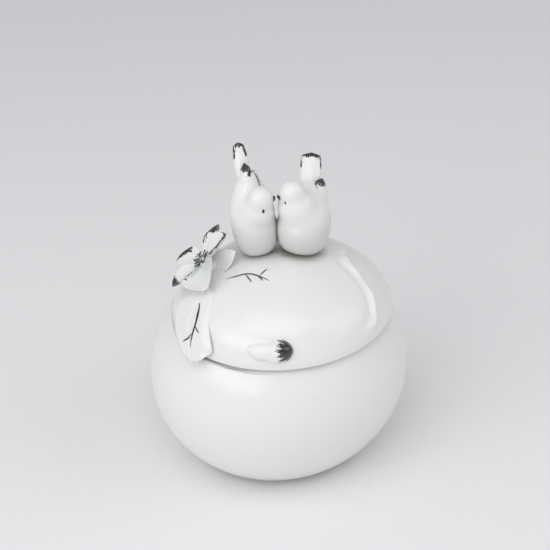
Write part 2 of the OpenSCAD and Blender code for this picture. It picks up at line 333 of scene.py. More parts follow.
def sleeve(rows, start, end, fields=None):
    """A closed skin: rows of points (rows, around, 3) joined in order, with a fan to a pole at each end.
    Fields are numbers or vectors for every point; a pole has the mean of the row beside it."""
    m, n = rows.shape[:2]
    points = np.vstack([rows.reshape(-1, 3), [start, end]])
    j = np.arange(n)
    right = (j + 1) % n
    first = np.stack([np.full(n, m * n), right, j], -1)
    last = np.stack([np.full(n, m * n + 1), (m - 1) * n + j, (m - 1) * n + right], -1)
    flat = {}
    for name, value in (fields or {}).items():
        value = np.broadcast_to(value, (m, n) + value.shape[2:])
        ends = np.stack([value[0].mean(0), value[-1].mean(0)])
        flat[name] = np.concatenate([value.reshape((m * n,) + value.shape[2:]), ends])
    return outward((points, grid_quads(m, n, False), np.vstack([first, last]), flat))


def hoop(rows):
    """A closed ring-shaped skin: rows (rows, around, 3) joined in order, the last to the first."""
    m, n = rows.shape[:2]
    return outward((rows.reshape(-1, 3), grid_quads(m, n, True), np.zeros((0, 3), int), {}))


def joined(shapes):
    """Several shapes as one, with the same fields."""
    counts = np.cumsum([0] + [len(s[0]) for s in shapes])
    fields = {k: np.concatenate([s[3][k] for s in shapes]) for k in shapes[0][3]}
    return (np.vstack([s[0] for s in shapes]),
            np.vstack([s[1] + c for s, c in zip(shapes, counts)]),
            np.vstack([s[2] + c for s, c in zip(shapes, counts)]), fields)


def brushed(depth, fade=BRUSH_FADE):
    """Black's reach at a depth inside its border, in millimetres: a half on the border itself."""
    return np.clip(0.5 + depth / fade, 0, 1)


def unpainted(rows, pool=0.0):
    """Fields of a piece without brushwork, its glaze pooled evenly."""
    zero = np.zeros(rows.shape[:2])
    return {"pool": zero + pool, "ink": zero, "grain": rows}


def turned(profile, centres, wobble=0.0):
    """Rows from a profile of (radius, height) points, each turned about its own centre (x, y).
    wobble is the share by which the radius swells and shrinks three times round, as thrown clay does."""
    a = np.linspace(0, 2 * np.pi, AROUND, endpoint=False)[None, :]
    r = profile[:, :1] * (1 + wobble * np.sin(3 * a + 0.6))
    z = np.broadcast_to(profile[:, 1:], r.shape)
    return np.stack([centres[:, :1] + r * np.cos(a), centres[:, 1:] + r * np.sin(a), z], -1)


def put_in(name, shape, body, nodes, material):
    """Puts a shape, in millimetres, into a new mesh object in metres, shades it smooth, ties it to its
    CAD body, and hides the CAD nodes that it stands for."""
    points, quads, tris, fields = shape
    mesh = bpy.data.meshes.new(name)
    mesh.vertices.add(len(points))
    mesh.vertices.foreach_set("co", (points * MM).astype(np.float32).ravel())
    sizes = np.concatenate([np.full(len(quads), 4), np.full(len(tris), 3)]).astype(np.int32)
    mesh.loops.add(int(sizes.sum()))
    mesh.loops.foreach_set("vertex_index", np.concatenate([quads.ravel(), tris.ravel()]).astype(np.int32))
    mesh.polygons.add(len(sizes))
    starts = np.concatenate([[0], np.cumsum(sizes)[:-1]]).astype(np.int32)
    mesh.polygons.foreach_set("loop_start", starts)
    mesh.polygons.foreach_set("use_smooth", np.ones(len(sizes), bool))
    for key, value in fields.items():
        vector = value.ndim == 2
        layer = mesh.attributes.new(key, "FLOAT_VECTOR" if vector else "FLOAT", "POINT")
        layer.data.foreach_set("vector" if vector else "value", value.astype(np.float32).ravel())
    mesh.update(calc_edges=True)
    if mesh.validate():
        raise RuntimeError(f"{name}: the mesh had faces that do not hold together")
    mesh.materials.append(material)
    piece = bpy.data.objects.new(name, mesh)
    bpy.context.scene.collection.objects.link(piece)
    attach(piece, body)
    if nodes:
        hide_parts(*nodes)
    return piece


# ------------------------------------------------------------------------------------------------
# Node groups and materials

def node(tree, kind, inputs=None, **settings):
    """A new node with its settings; each input is a plain value or the socket that feeds it."""
    made = tree.nodes.new(kind)
    for key, value in settings.items():
        setattr(made, key, value)
    for key, value in (inputs or {}).items():
        if isinstance(value, bpy.types.NodeSocket):
            tree.links.new(value, made.inputs[key])
        else:
            made.inputs[key].default_value = value
    return made


def maths(tree, operation, a, b=0.0):
    """The result of one sum of two values or sockets."""
    return node(tree, "ShaderNodeMath", {0: a, 1: b}, operation=operation).outputs[0]


def noise(tree, place, scale, detail=2.0, rough=0.5):
    """A smooth random value from 0 to 1 at each place."""
    return node(tree, "ShaderNodeTexNoise", {"Vector": place, "Scale": scale, "Detail": detail,
                                             "Roughness": rough}).outputs["Fac"]


def mix(tree, share, a, b, blend="MIX"):
    """Colour a turning into colour b by share."""
    made = node(tree, "ShaderNodeMix", data_type="RGBA", blend_type=blend)
    sockets = {0: share, 6: a, 7: b}
    for index, value in sockets.items():
        if isinstance(value, bpy.types.NodeSocket):
            tree.links.new(value, made.inputs[index])
        else:
            made.inputs[index].default_value = value
    return made.outputs[2]


def between(tree, value, low, high, to_low=0.0, to_high=1.0):
    """A value carried from low..high to to_low..to_high along a smooth S."""
    return node(tree, "ShaderNodeMapRange", {0: value, 1: low, 2: high, 3: to_low, 4: to_high},
                interpolation_type="SMOOTHSTEP").outputs[0]


def new_group(name, inputs, outputs):
    """An empty shader node group with named sockets: (name, kind, default) in and (name, kind) out."""
    group = bpy.data.node_groups.new(name, "ShaderNodeTree")
    for title, kind, default in inputs:
        socket = group.interface.new_socket(name=title, in_out="INPUT", socket_type=kind)
        if default is not None:
            socket.default_value = default
    for title, kind in outputs:
        group.interface.new_socket(name=title, in_out="OUTPUT", socket_type=kind)
    return group, group.nodes.new("NodeGroupInput").outputs, group.nodes.new("NodeGroupOutput").inputs


def shared(name, build):
    """The shader node group of that name, built by build the first time that it is asked for."""
    return bpy.data.node_groups.get(name) or build()


def glaze_group():
    """Clear glaze over white clay: faint clouding, greener where it pools, painted shade that darkens it
    towards dark olive where shade falls in creases, rare dark specks and pin holes, a gloss that varies
    a little, and the gentle unevenness of a fired surface."""
    group, given, out = new_group(
        "Clear Glaze",
        [("Place", "NodeSocketVector", None), ("Colour", "NodeSocketColor", (0.84, 0.84, 0.82, 1)),
         ("Pooled", "NodeSocketColor", (0.7, 0.8, 0.78, 1)), ("Pooling", "NodeSocketFloat", 0.0),
         ("Clouding", "NodeSocketFloat", 1.0), ("Specks", "NodeSocketFloat", 0.5),
         ("Crevice", "NodeSocketFloat", 0.0)],
        [("Colour", "NodeSocketColor"), ("Roughness", "NodeSocketFloat"), ("Height", "NodeSocketFloat")])
    place = given["Place"]
    cloud = noise(group, place, 34.0, 3.0)
    warmer = mix(group, 1.0, given["Colour"], (0.985, 0.982, 0.968, 1), "MULTIPLY")
    share = maths(group, "MULTIPLY", between(group, cloud, 0.38, 0.72), given["Clouding"])
    colour = mix(group, share, given["Colour"], warmer)
    runs = maths(group, "ADD", given["Pooling"], maths(group, "MULTIPLY", maths(
        group, "SUBTRACT", noise(group, place, 260.0, 2.0), 0.5), 0.25))
    colour = mix(group, maths(group, "MULTIPLY", between(group, runs, 0.1, 1.0), given["Pooling"]),
                 colour, given["Pooled"])
    # Painted shade: the glaze is darkened towards dark olive where shade falls in creases.
    deep = maths(group, "MULTIPLY", given["Crevice"], 0.9)
    colour = mix(group, deep, colour, (0.13, 0.135, 0.105, 1))
    cells = node(group, "ShaderNodeTexVoronoi", {"Vector": place, "Scale": 210.0}, feature="F1")
    dot = between(group, cells.outputs["Distance"], 0.035, 0.06, 1.0, 0.0)
    rare = maths(group, "GREATER_THAN", node(group, "ShaderNodeSeparateColor", {
        "Color": cells.outputs["Color"]}).outputs[0], 0.93)
    speck = maths(group, "MULTIPLY", dot, rare)
    colour = mix(group, maths(group, "MULTIPLY", speck, given["Specks"]), colour, (0.33, 0.29, 0.22, 1))
    ripple = noise(group, place, 95.0, 1.0)
    fine = noise(group, place, 900.0, 2.0)
    height = maths(group, "ADD", maths(group, "MULTIPLY", ripple, 0.9), maths(group, "MULTIPLY", fine, 0.06))
    height = maths(group, "SUBTRACT", height, maths(group, "MULTIPLY", speck, 0.12))
    rough = maths(group, "ADD", between(group, noise(group, place, 60.0, 3.0), 0.3, 0.75, 0.29, 0.37),
                  maths(group, "MULTIPLY", speck, 0.25))
    for title, value in (("Colour", colour), ("Roughness", rough), ("Height", height)):
        group.links.new(value, out[title])
    return group


def brush_group():
    """A loaded brush drawn off an edge: solid where Reach is over a half, breaking into streaks near
    there and worn through in places. The streaks follow Grain, whose x runs across the stroke and
    whose y runs along it, in millimetres."""
    group, given, out = new_group(
        "Brushed Black",
        [("Reach", "NodeSocketFloat", 0.0), ("Grain", "NodeSocketVector", None),
         ("Fringe", "NodeSocketFloat", 0.5), ("Streaks", "NodeSocketFloat", 2.2)],
        [("Mask", "NodeSocketFloat"), ("Height", "NodeSocketFloat")])
    stretch = node(group, "ShaderNodeVectorMath", {0: given["Grain"], 1: (1.0, 0.16, 1.0)},
                   operation="MULTIPLY").outputs[0]
    scaled = node(group, "ShaderNodeVectorMath", {0: stretch}, operation="SCALE")
    group.links.new(given["Streaks"], scaled.inputs["Scale"])
    hairs = noise(group, scaled.outputs[0], 1.0, 3.0, 0.6)
    push = maths(group, "MULTIPLY", maths(group, "SUBTRACT", hairs, 0.5), given["Fringe"])
    level = maths(group, "ADD", given["Reach"], maths(group, "MULTIPLY", push, 2.0))
    drawn = between(group, given["Reach"], 0.0, 0.2)
    mask = maths(group, "MULTIPLY", between(group, level, 0.44, 0.56), drawn)
    thin = noise(group, scaled.outputs[0], 2.6, 2.0, 0.5)
    near_border = between(group, level, 0.62, 0.98, 0.85, 0.0)
    worn = maths(group, "MULTIPLY", between(group, thin, 0.58, 0.66), near_border)
    mask = maths(group, "MULTIPLY", mask, maths(group, "SUBTRACT", 1.0, worn))
    group.links.new(mask, out["Mask"])
    group.links.new(maths(group, "MULTIPLY", mask, 0.5), out["Height"])
    return group


def clay_group():
    """Bare fired porcelain: fine sandy grain, faint warm staining, and grey rub marks."""
    group, given, out = new_group(
        "Bare Clay",
        [("Place", "NodeSocketVector", None), ("Colour", "NodeSocketColor", (0.74, 0.71, 0.64, 1))],
        [("Colour", "NodeSocketColor"), ("Roughness", "NodeSocketFloat"), ("Height", "NodeSocketFloat")])
    place = given["Place"]
    stain = between(group, noise(group, place, 70.0, 4.0), 0.45, 0.75)
    colour = mix(group, stain, given["Colour"], (0.60, 0.52, 0.40, 1))
    rubs = between(group, noise(group, place, 400.0, 3.0), 0.62, 0.75, 0.0, 0.35)
    colour = mix(group, rubs, colour, (0.42, 0.41, 0.39, 1))
    grain = noise(group, place, 2600.0, 2.0)
    rough = between(group, grain, 0.2, 0.8, 0.62, 0.85)
    for title, value in (("Colour", colour), ("Roughness", rough), ("Height", grain)):
        group.links.new(value, out[title])
    return group


def blank_material(name):
    """A material with one Principled shader, the Object coordinates, and the group tree to fill."""
    material = bpy.data.materials.new(name)
    material.use_nodes = True
    tree = material.node_tree
    tree.nodes.clear()
    shader = tree.nodes.new("ShaderNodeBsdfPrincipled")
    output = tree.nodes.new("ShaderNodeOutputMaterial")
    tree.links.new(shader.outputs[0], output.inputs["Surface"])
    place = tree.nodes.new("ShaderNodeTexCoord").outputs["Object"]
    return material, tree, shader, place


def attribute(tree, name, output):
    """A value or vector stored on the points of the mesh."""
    return node(tree, "ShaderNodeAttribute", attribute_name=name).outputs[output]


def glazed(name, clouding=0.5, specks=0.4, fringe=0.5, streaks=2.2):
    """A clear-glazed white with pooling from the field pool, painted shade in creases from a field of its
    own, and black brushwork from the fields ink and grain. Black stands a little above the glaze and is
    glossier."""
    if name in bpy.data.materials:
        return bpy.data.materials[name]
    finish = bpy.context.scene.trinket_finish
    material, tree, shader, place = blank_material(name)
    glaze = node(tree, "ShaderNodeGroup", node_tree=shared("Clear Glaze", glaze_group))
    tree.links.new(place, glaze.inputs["Place"])
    tree.links.new(attribute(tree, "pool", "Fac"), glaze.inputs["Pooling"])
    # Painted shade: a field on the points that darkens the glaze where shade falls.
    tree.links.new(attribute(tree, "crevice", "Fac"), glaze.inputs["Crevice"])
    glaze.inputs["Colour"].default_value = (*finish.glaze, 1)
    glaze.inputs["Pooled"].default_value = (*finish.pooled, 1)
    glaze.inputs["Clouding"].default_value = clouding
    glaze.inputs["Specks"].default_value = specks
    brush = node(tree, "ShaderNodeGroup", node_tree=shared("Brushed Black", brush_group))
    tree.links.new(attribute(tree, "ink", "Fac"), brush.inputs["Reach"])
    tree.links.new(attribute(tree, "grain", "Vector"), brush.inputs["Grain"])
    brush.inputs["Fringe"].default_value = fringe
    brush.inputs["Streaks"].default_value = streaks
    mask = brush.outputs["Mask"]
    tree.links.new(mix(tree, mask, glaze.outputs["Colour"], (*finish.ink, 1)), shader.inputs["Base Color"])
    bare = maths(tree, "SUBTRACT", 1.0, mask)
    rough = maths(tree, "ADD", maths(tree, "MULTIPLY", glaze.outputs["Roughness"], bare),
                  maths(tree, "MULTIPLY", mask, 0.13))
    tree.links.new(rough, shader.inputs["Roughness"])
    coat = maths(tree, "ADD", maths(tree, "MULTIPLY", mask, 1 - finish.gloss), finish.gloss)
    tree.links.new(coat, shader.inputs["Coat Weight"])
    height = maths(tree, "ADD", glaze.outputs["Height"], brush.outputs["Height"])
    bump = node(tree, "ShaderNodeBump", {"Strength": 0.6, "Distance": 0.00025, "Height": height})
    tree.links.new(bump.outputs[0], shader.inputs["Normal"])
    shader.inputs["Coat Roughness"].default_value = 0.10
    shader.inputs["IOR"].default_value = 1.5
    return material


def leaf_glaze():
    """The glaze of the leaves, the calyx and the bud, with broad soft streaks in the black."""
    return glazed("Glazed leaf", clouding=0.5, fringe=1.0, streaks=1.3)


def ink_material():
    """Glossy black brushwork on its own pieces: slightly streaked, greyer where it is thin."""
    if "Black brushwork" in bpy.data.materials:
        return bpy.data.materials["Black brushwork"]
    finish = bpy.context.scene.trinket_finish
    material, tree, shader, place = blank_material("Black brushwork")
    streak = noise(tree, place, 1500.0, 3.0)
    thin = tuple(c * 4.5 for c in finish.ink) + (1,)
    colour = mix(tree, between(tree, streak, 0.45, 0.8), (*finish.ink, 1), thin)
    tree.links.new(colour, shader.inputs["Base Color"])
    tree.links.new(between(tree, streak, 0.2, 0.8, 0.14, 0.3), shader.inputs["Roughness"])
    bump = node(tree, "ShaderNodeBump", {"Strength": 0.4, "Distance": 0.0001, "Height": streak})
    tree.links.new(bump.outputs[0], shader.inputs["Normal"])
    shader.inputs["Coat Weight"].default_value = finish.thin_gloss
    shader.inputs["Coat Roughness"].default_value = 0.08
    return material


def clay_material():
    """Unglazed porcelain of the foot and the lid's locating ring."""
    if "Unglazed porcelain" in bpy.data.materials:
        return bpy.data.materials["Unglazed porcelain"]
    material, tree, shader, place = blank_material("Unglazed porcelain")
    clay = node(tree, "ShaderNodeGroup", node_tree=shared("Bare Clay", clay_group))
    tree.links.new(place, clay.inputs["Place"])
    clay.inputs["Colour"].default_value = (*bpy.context.scene.trinket_finish.clay, 1)
    tree.links.new(clay.outputs["Colour"], shader.inputs["Base Color"])
    tree.links.new(clay.outputs["Roughness"], shader.inputs["Roughness"])
    bump = node(tree, "ShaderNodeBump", {"Strength": 0.5, "Distance": 0.00012,
                                         "Height": clay.outputs["Height"]})
    tree.links.new(bump.outputs[0], shader.inputs["Normal"])
    return material


def floor_material():
    """Pale matt card with a barely seen fibre, darkened towards the back by painted shade."""
    material, tree, shader, place = blank_material("Pale floor")
    base = (*bpy.context.scene.trinket_stage.floor, 1)
    fibre = between(tree, noise(tree, place, 320.0, 4.0), 0.3, 0.7)
    thread_grey, painted_falloff_grey = (tuple(c * dim for c in base[:3]) + (1,) for dim in (0.985, 0.88))
    card = mix(tree, fibre, base, thread_grey)
    # Painted shade: the card greys towards the back, in place of the light's falloff.
    depth = node(tree, "ShaderNodeSeparateXYZ", {"Vector": place}).outputs["Y"]
    away = node(tree, "ShaderNodeMapRange", {0: depth, 1: -0.35, 2: 0.9, 3: 0.0, 4: 1.0}).outputs[0]
    tree.links.new(mix(tree, away, card, painted_falloff_grey), shader.inputs["Base Color"])
    tree.links.new(between(tree, fibre, 0.0, 1.0, 0.72, 0.8), shader.inputs["Roughness"])
    shader.inputs["Specular IOR Level"].default_value = 0.2
    return material


# ------------------------------------------------------------------------------------------------
# Pot and lid

def pot_shape(sizes):
    """The bowl as one skin from the middle of its underside, out and up the oval wall, over the flat
    seat, down the cut mouth, and round the inside to the middle of its floor. Outside, the radius is
    that of an oval of half axes pot radius and 48.4 mm about the belly's level; the inside is the same
    oval less the wall. Each level is turned about a centre that leans with height, and the mouth about
    its own centre. Painted shade darkens the seat in a thin line where the lid's rim comes down on it."""
    r, wall = sizes.pot_radius / MM, sizes.pot_wall / MM
    start = math.degrees(math.asin((BASE_Z - BELLY_Z) / BELLY_HALF_H))
    top = math.degrees(math.asin((SEAT_Z - BELLY_Z) / BELLY_HALF_H))
    inner_h = BELLY_HALF_H - wall
    floor_z = BASE_Z + wall
    ceiling = math.degrees(math.asin((CEILING_Z - BELLY_Z) / inner_h))
    inner_start = math.degrees(math.asin((floor_z - BELLY_Z) / inner_h))
    profile = np.vstack([
        [[0.4, BASE_Z]], arc(r, BELLY_HALF_H, BELLY_Z, start, top), [[MOUTH_R, SEAT_Z]],
        [[MOUTH_R, CEILING_Z]], arc(r - wall, inner_h, BELLY_Z, ceiling, inner_start), [[0.4, floor_z]]])
    profile = softened(profile, 0.7, 0.75)
    profile[:, 0] = np.maximum(profile[:, 0], 0.05)
    z = profile[:, 1:]
    at_mouth = step(59.0, 62.0, z) * step(43.0, 40.0, profile[:, :1])
    lean = np.hstack([POT_LEAN * (z - BELLY_Z), 0 * z])
    centres = lean * (1 - at_mouth) + MOUTH * at_mouth
    rows = turned(profile, centres, 0.0008)
    # Painted shade: a thin dark line on the seat, in the gap under the lid's rim.
    from_rim = np.hypot(rows[..., 0] - DOME[0], rows[..., 1] - DOME[1]) - (sizes.lid_radius / MM - 0.4)
    deep = 0.9 * hump(from_rim, 0, 0.4) * step(SEAT_Z - 1.6, SEAT_Z - 0.8, rows[..., 2])
    return sleeve(rows, rows[0].mean(0), rows[-1].mean(0), {"crevice": deep})


def foot_shape():
    """The foot ring: a rounded oblong section turned about the axis, its top sunk in the pot's base."""
    outer = (FOOT_HIGH[0] - FOOT_LOW[0]) / 2
    inner = outer - FOOT_WIDTH
    top = FOOT_HIGH[2] + FOOT_SUNK
    section = np.array([[inner, 0], [outer, 0], [outer, top], [inner, top]], float)
    section = softened(section, 0.25, 0.28, closed=True)
    section[:, 1] = np.maximum(section[:, 1], 0)
    return hoop(turned(section, np.zeros((len(section), 2))))


def lid_shape(sizes):
    """The dome as one skin: down a quarter oval, round the lip, across the rim's underside, which stands
    clear of the seat by the rim gap up to the part that rests on it, and up the smaller quarter oval of
    the hollow. Painted shade darkens the open part of the underside."""
    r, rise, wall = sizes.lid_radius / MM, sizes.lid_rise / MM, sizes.lid_wall / MM
    profile = np.vstack([
        arc(r, rise, LID_Z, 89.6, 0), arc(LIP, LIP - RIM_GAP, LID_Z, 0, -90, 8)[1:] + [r - LIP, 0],
        [[r - REST_IN + 0.2, SEAT_Z + RIM_GAP]], [[r - REST_IN, SEAT_Z]], [[r - wall + 0.2, SEAT_Z]],
        arc(r - wall, rise - wall, LID_Z, 0, 89.6)])
    profile = softened(profile, 0.3, 0.18)
    profile[:, 0] = np.maximum(profile[:, 0], 0.05)
    rows = turned(profile, np.tile(DOME, (len(profile), 1)))
    # Painted shade on the open underside of the rim.
    under = step(LID_Z - 0.1, LID_Z - 0.45, profile[:, 1:])
    under = under * step(r - REST_IN, r - REST_IN + 0.8, profile[:, :1])
    return sleeve(rows, rows[0].mean(0), rows[-1].mean(0), {"crevice": 0.85 * under})


def locating_ring_shape(sizes):
    """The ring inside the lid: a wall that drops into the mouth, with a flange above it that runs out
    into the dome. The wall is turned about the mouth's centre and the flange about the dome's."""
    ring_r = MOUTH_R - RING_PLAY
    inner = ring_r - RING_WALL
    low, high = RING_LOW[2], RING_HIGH[2]
    out = sizes.lid_radius / MM - sizes.lid_wall / MM + 0.4
    flange = SEAT_Z + 0.3
    section = np.array([[inner, low], [ring_r, low], [ring_r, flange],
                        [out, flange], [out, high], [inner, high]])
    section = softened(section, 0.3, 0.3, closed=True)
    share = step(ring_r + 0.5, out - 1, section[:, :1])
    centres = MOUTH * (1 - share) + DOME * share
    return hoop(turned(section, centres))


def on_dome(sizes, grow, x, y):
    """Points above (x, y) on the dome grown by grow."""
    a, b = sizes.lid_radius / MM + grow, sizes.lid_rise / MM + grow
    away = np.hypot(x - DOME[0], y - DOME[1])
    return np.stack([x, y, LID_Z + b * np.sqrt(np.clip(1 - (away / a) ** 2, 0, 1))], -1)


def kept_in_wall(sizes, points):
    """The points with their depth below the middle of the dome's wall shrunk to an eighth, so that a
    piece luted to the lid doesn't come through into its hollow."""
    middle = on_dome(sizes, -sizes.lid_wall / MM / 2, points[..., 0], points[..., 1])[..., 2]
    z = points[..., 2]
    z = np.where((z < middle) & (middle > LID_Z), middle - (middle - z) / 8, z)
    return np.concatenate([points[..., :2], z[..., None]], -1)


# ------------------------------------------------------------------------------------------------
# Leaves

def leaf_reach(turn):
    """Plan radius of the broad leaf's edge: 28.5 mm behind and beside, swelling by 22 mm towards the
    front along an S curve centred 66 degrees from it, with a gentle wave."""
    degrees = np.abs(np.degrees(turn))
    waves = 0.35 * np.sin(7 * turn + 0.4) + 0.2 * np.sin(17 * turn)
    return LEAF_R + LEAF_SWELL / (1 + np.exp((degrees - LEAF_SHOULDER) / 8)) + waves


def broad_leaf_shape(sizes):
    """The leaf laid over the dome: rows run from the dome's top to the leaf's edge and back underneath.
    Its thickness rises along a quarter circle at the edge, fades where it meets the lid's rim at the
    front, and carries a raised wavy fold a little inside the edge on the right. Painted shade darkens
    it near the feet of the birds and between them."""
    r, rise = sizes.lid_radius / MM, sizes.lid_rise / MM
    thick = sizes.leaf_thickness / MM
    turn = np.linspace(-np.pi, np.pi, 320, endpoint=False)[None, :]
    reach = leaf_reach(turn)
    reach = np.minimum(reach, r - 0.05) - 0.4 * hump(reach, r, 2.5)
    edge_angle = np.arccos(reach / r)
    s = (1 - (1 - np.linspace(0, 1, 90)) ** 1.7)[:, None]
    angle = np.pi / 2 - 0.004 - s * (np.pi / 2 - 0.004 - edge_angle)
    metric = np.hypot(r * np.sin((angle + edge_angle) / 2), rise * np.cos((angle + edge_angle) / 2))
    inside = (angle - edge_angle) * metric
    rim_fade = step(0.0, 9.0, r - r * np.cos(angle))
    full = 0.1 + (thick - 0.1) * rim_fade
    right = step(0.72, 1.05, turn) * step(2.15, 1.75, turn)
    wave = 1 + 0.3 * np.sin(13 * turn + 1.0) + 0.15 * np.sin(29 * turn)
    fold = 1.15 * right * wave * hump(inside, 2.7 + 0.5 * np.sin(9 * turn), 2.0)
    furrow = 0.3 * right * hump(inside, 6.6 + 0.6 * np.sin(7 * turn), 2.2)
    roll = np.sqrt(np.clip(1 - (1 - np.clip(inside / 0.9, 0, 1)) ** 2, 0, 1))
    swell = 0.12 * np.sin(3 * turn + 4 * s) * step(1.0, 0.6, s)
    top = -0.35 + (full + 0.35 + fold - furrow + swell) * roll
    under = np.full_like(top, -0.6)
    sunk = under[::-1]
    angles = np.vstack([angle, angle[::-1]])
    grow = np.vstack([top, np.minimum(sunk, top[::-1] - 0.02)])
    radius, height = (r + grow) * np.cos(angles), LID_Z + (rise + grow) * np.sin(angles)
    turns = np.broadcast_to(turn, radius.shape)
    rows = np.stack([DOME[0] + radius * np.sin(turns), DOME[1] - radius * np.cos(turns), height], -1)
    pool = np.clip(0.5 * right * hump(inside, 4.4, 1.8) + 0.25 * (1 - rim_fade), 0, 1)
    pool = np.vstack([pool, 0 * pool])
    # Painted shade on the leaf around the birds' feet and between the two birds.
    left, right_one = (np.maximum(bird_distance(bird, rows), 0) for bird in BIRDS.values())
    feet = 0.2 * hump(left, 0, 2.4) + 0.6 * hump(right_one, 0, 2.4)
    deep = np.clip(feet + 0.5 * hump(left + right_one, 0, 6), 0, 1)
    fields = {"pool": pool, "ink": 0 * pool, "crevice": deep, "grain": rows}
    return sleeve(rows, rows[0].mean(0), rows[-1].mean(0), fields)


def drape_half(u):
    """Half the angle that the draped leaf covers at u, in degrees: widest in the middle, blunt at the tip."""
    return 15.3 * np.sin(np.pi * (0.12 + 0.77 * u)) ** 0.75


def drape_frame(sizes, u):
    """Reach, height and slope (radians) of the draped leaf's middle line at u. Up to the rim it follows
    the dome from 48 to 12 degrees above it; beyond, it hangs out over the rim and down."""
    r, rise = sizes.lid_radius / MM, sizes.lid_rise / MM
    on = np.radians(DRAPE_RISE - DRAPE_FALL * np.minimum(u, DRAPE_RIM) / DRAPE_RIM)
    q = np.maximum(u - DRAPE_RIM, 0) / (1 - DRAPE_RIM)
    reach = r * np.cos(on) + 2.2 * q + 2.6 * q * q
    height = LID_Z + rise * np.sin(on) - 8.7 * q + 1.6 * q * q
    slope = np.where(u < DRAPE_RIM, np.arctan2(r * np.sin(on), rise * np.cos(on)), np.radians(10 + 35 * q))
    return reach, height, slope


def draped_leaf_shape(sizes):
    """The leaf that hangs over the rim: at each step along it a flat oval section is laid across the
    dome, its angle about the axis going round by 18 degrees. The left edge stands up, the right one
    lies down on the dome behind a soft roll, and the tip ends in three soft lobes."""
    thick = sizes.leaf_thickness / MM
    u = (0.5 - 0.5 * np.cos(np.linspace(0.02, np.pi - 0.02, 150)))[:, None]
    around = np.linspace(0, 2 * np.pi, 96, endpoint=False)[None, :]
    v = np.cos(around)
    side = np.sign(np.sin(around)) * np.abs(np.sin(around)) ** 0.55
    half = drape_half(u)
    half = half * (1 + 0.05 * np.sin(11 * u + 0.8) * np.sign(v) * np.abs(v))
    lobes = 0.018 * np.cos(3.2 * np.pi * v + 0.5) * step(0.75, 0.95, u) * step(1.0, 0.5, np.abs(v))
    place = u + lobes - 0.10 * v * v * step(0.6, 1.0, u)
    reach, height, slope = drape_frame(sizes, place)
    angle = np.radians(DRAPE_TURN + DRAPE_SWEEP * place + v * half)
    laid = step(0.95, 0.7, u)
    edges = 0.8 * np.abs(v) ** 3 * np.where(v > 0, 1 - 1.9 * laid, 1)
    roll = edges + 0.5 * hump(v, 0.66, 0.25) * step(0.15, 0.4, u)
    groove = -0.35 * hump(v, -0.02, 0.09) * step(0.05, 0.3, u) * step(0.98, 0.8, u)
    middle = thick - 0.3 + thick / 2 + roll + groove + 0.25 * np.sin(9 * u + 3 * v) * v * v
    ends = step(-0.02, 0.05, u) * step(1.0, 0.97, u * 0.99)
    lift = middle + side * thick / 2 * (1 + 0.5 * hump(v, 0.86, 0.2)) * ends
    out, up = reach + lift * np.cos(slope), height + lift * np.sin(slope)
    rows = np.stack([DOME[0] + out * np.cos(angle), DOME[1] + out * np.sin(angle), up], -1)
    upper = step(-0.3, 0.2, side)
    pool = upper * (0.35 * hump(v, 0.62, 0.2) + 0.3 * hump(v, -0.6, 0.2)) + 0 * u
    dark = upper * 0.62 * hump(v, -0.985, 0.05) * step(0.42, 0.5, u) * step(0.78, 0.7, u)
    grain = np.stack([v * 12 + 0 * u, u * 40 + 0 * v, 0 * u + 0 * v], -1)
    fields = {"pool": pool, "ink": dark, "grain": grain}
    return sleeve(rows, rows[0].mean(0), rows[-1].mean(0), fields)


def blade(root, tip, face, half_w, thick, cup=0.0, bend=0.0, fullness=0.85, blunt=0.0, flutter=0.0):
    """A thin leaf-like body from root to tip whose broad side looks towards face. Its half width is
    half_w times the sine of a half turn that starts at 0.05 and ends short by blunt, run by the power
    fullness, to the power 0.8. Its section is a flat oval; the sides rise with the square of the place
    across it by cup, the tip rises by bend with the square of the place along it, and the edges
    flutter. Gives the rows, the places u along, v across and w, which is 1 on the face and -1 on the
    back, the half width at each row, and the length."""
    root, tip = np.asarray(root, float), np.asarray(tip, float)
    run = tip - root
    along = unit(run)
    across = unit(np.cross(face, along))
    up = np.cross(along, across)
    u = (0.5 - 0.5 * np.cos(np.linspace(0.03, np.pi - 0.03, 84)))[:, None]
    turn = np.linspace(0, 2 * np.pi, 64, endpoint=False)[None, :]
    v = np.cos(turn)
    w = np.sign(np.sin(turn)) * np.abs(np.sin(turn)) ** 0.7
    half = half_w * np.sin(np.pi * (0.05 + (0.95 - blunt) * u ** fullness)) ** 0.8
    shrink = 0.999 if blunt else 0.75
    half = half * np.sqrt(np.clip(1 - step(0.0, 1.0, (u - 0.9) / 0.1) ** 2 * shrink, 0, 1))
    ends = np.minimum(1, 6 * u + 0.25) * np.minimum(1, 7 * (1 - u) + 0.22)
    lift = (cup * v * v * half / half_w + bend * u * u + w * thick / 2 * ends
            + flutter * np.sin(9 * u + 2 * np.sign(v)) * np.abs(v) ** 3 * half / half_w)
    side = v * half
    points = root + u[..., None] * run + side[..., None] * across + lift[..., None] * up
    zero = 0 * u * v
    return points, u + zero, v + zero, w + zero, half, np.linalg.norm(run)


def blade_shape(made, ink=None, pool=None):
    """A closed skin from a blade, with its black and pooled fields; the brush follows its length."""
    points, u, v, w, half, length = made
    zero = 0 * u
    grain = np.stack([v * half, u * length, zero + 3.0], -1)
    fields = {"pool": zero if pool is None else pool, "ink": zero if ink is None else ink, "grain": grain}
    return sleeve(points, points[0].mean(0), points[-1].mean(0), fields)


def back_leaf_shape(sizes):
    """The small leaf behind the flower: one cupped blade."""
    made = blade([-25, -1, 86.5], [-13.9, -3, 95.8], [-0.5, -0.6, 0.6], 5.0, sizes.leaf_thickness / MM,
                 cup=1.2, bend=0.6, flutter=0.4)
    points, u, v, w, half, length = made
    return blade_shape(made, pool=0.25 * (1 - v * v) * step(-0.2, 0.3, w))


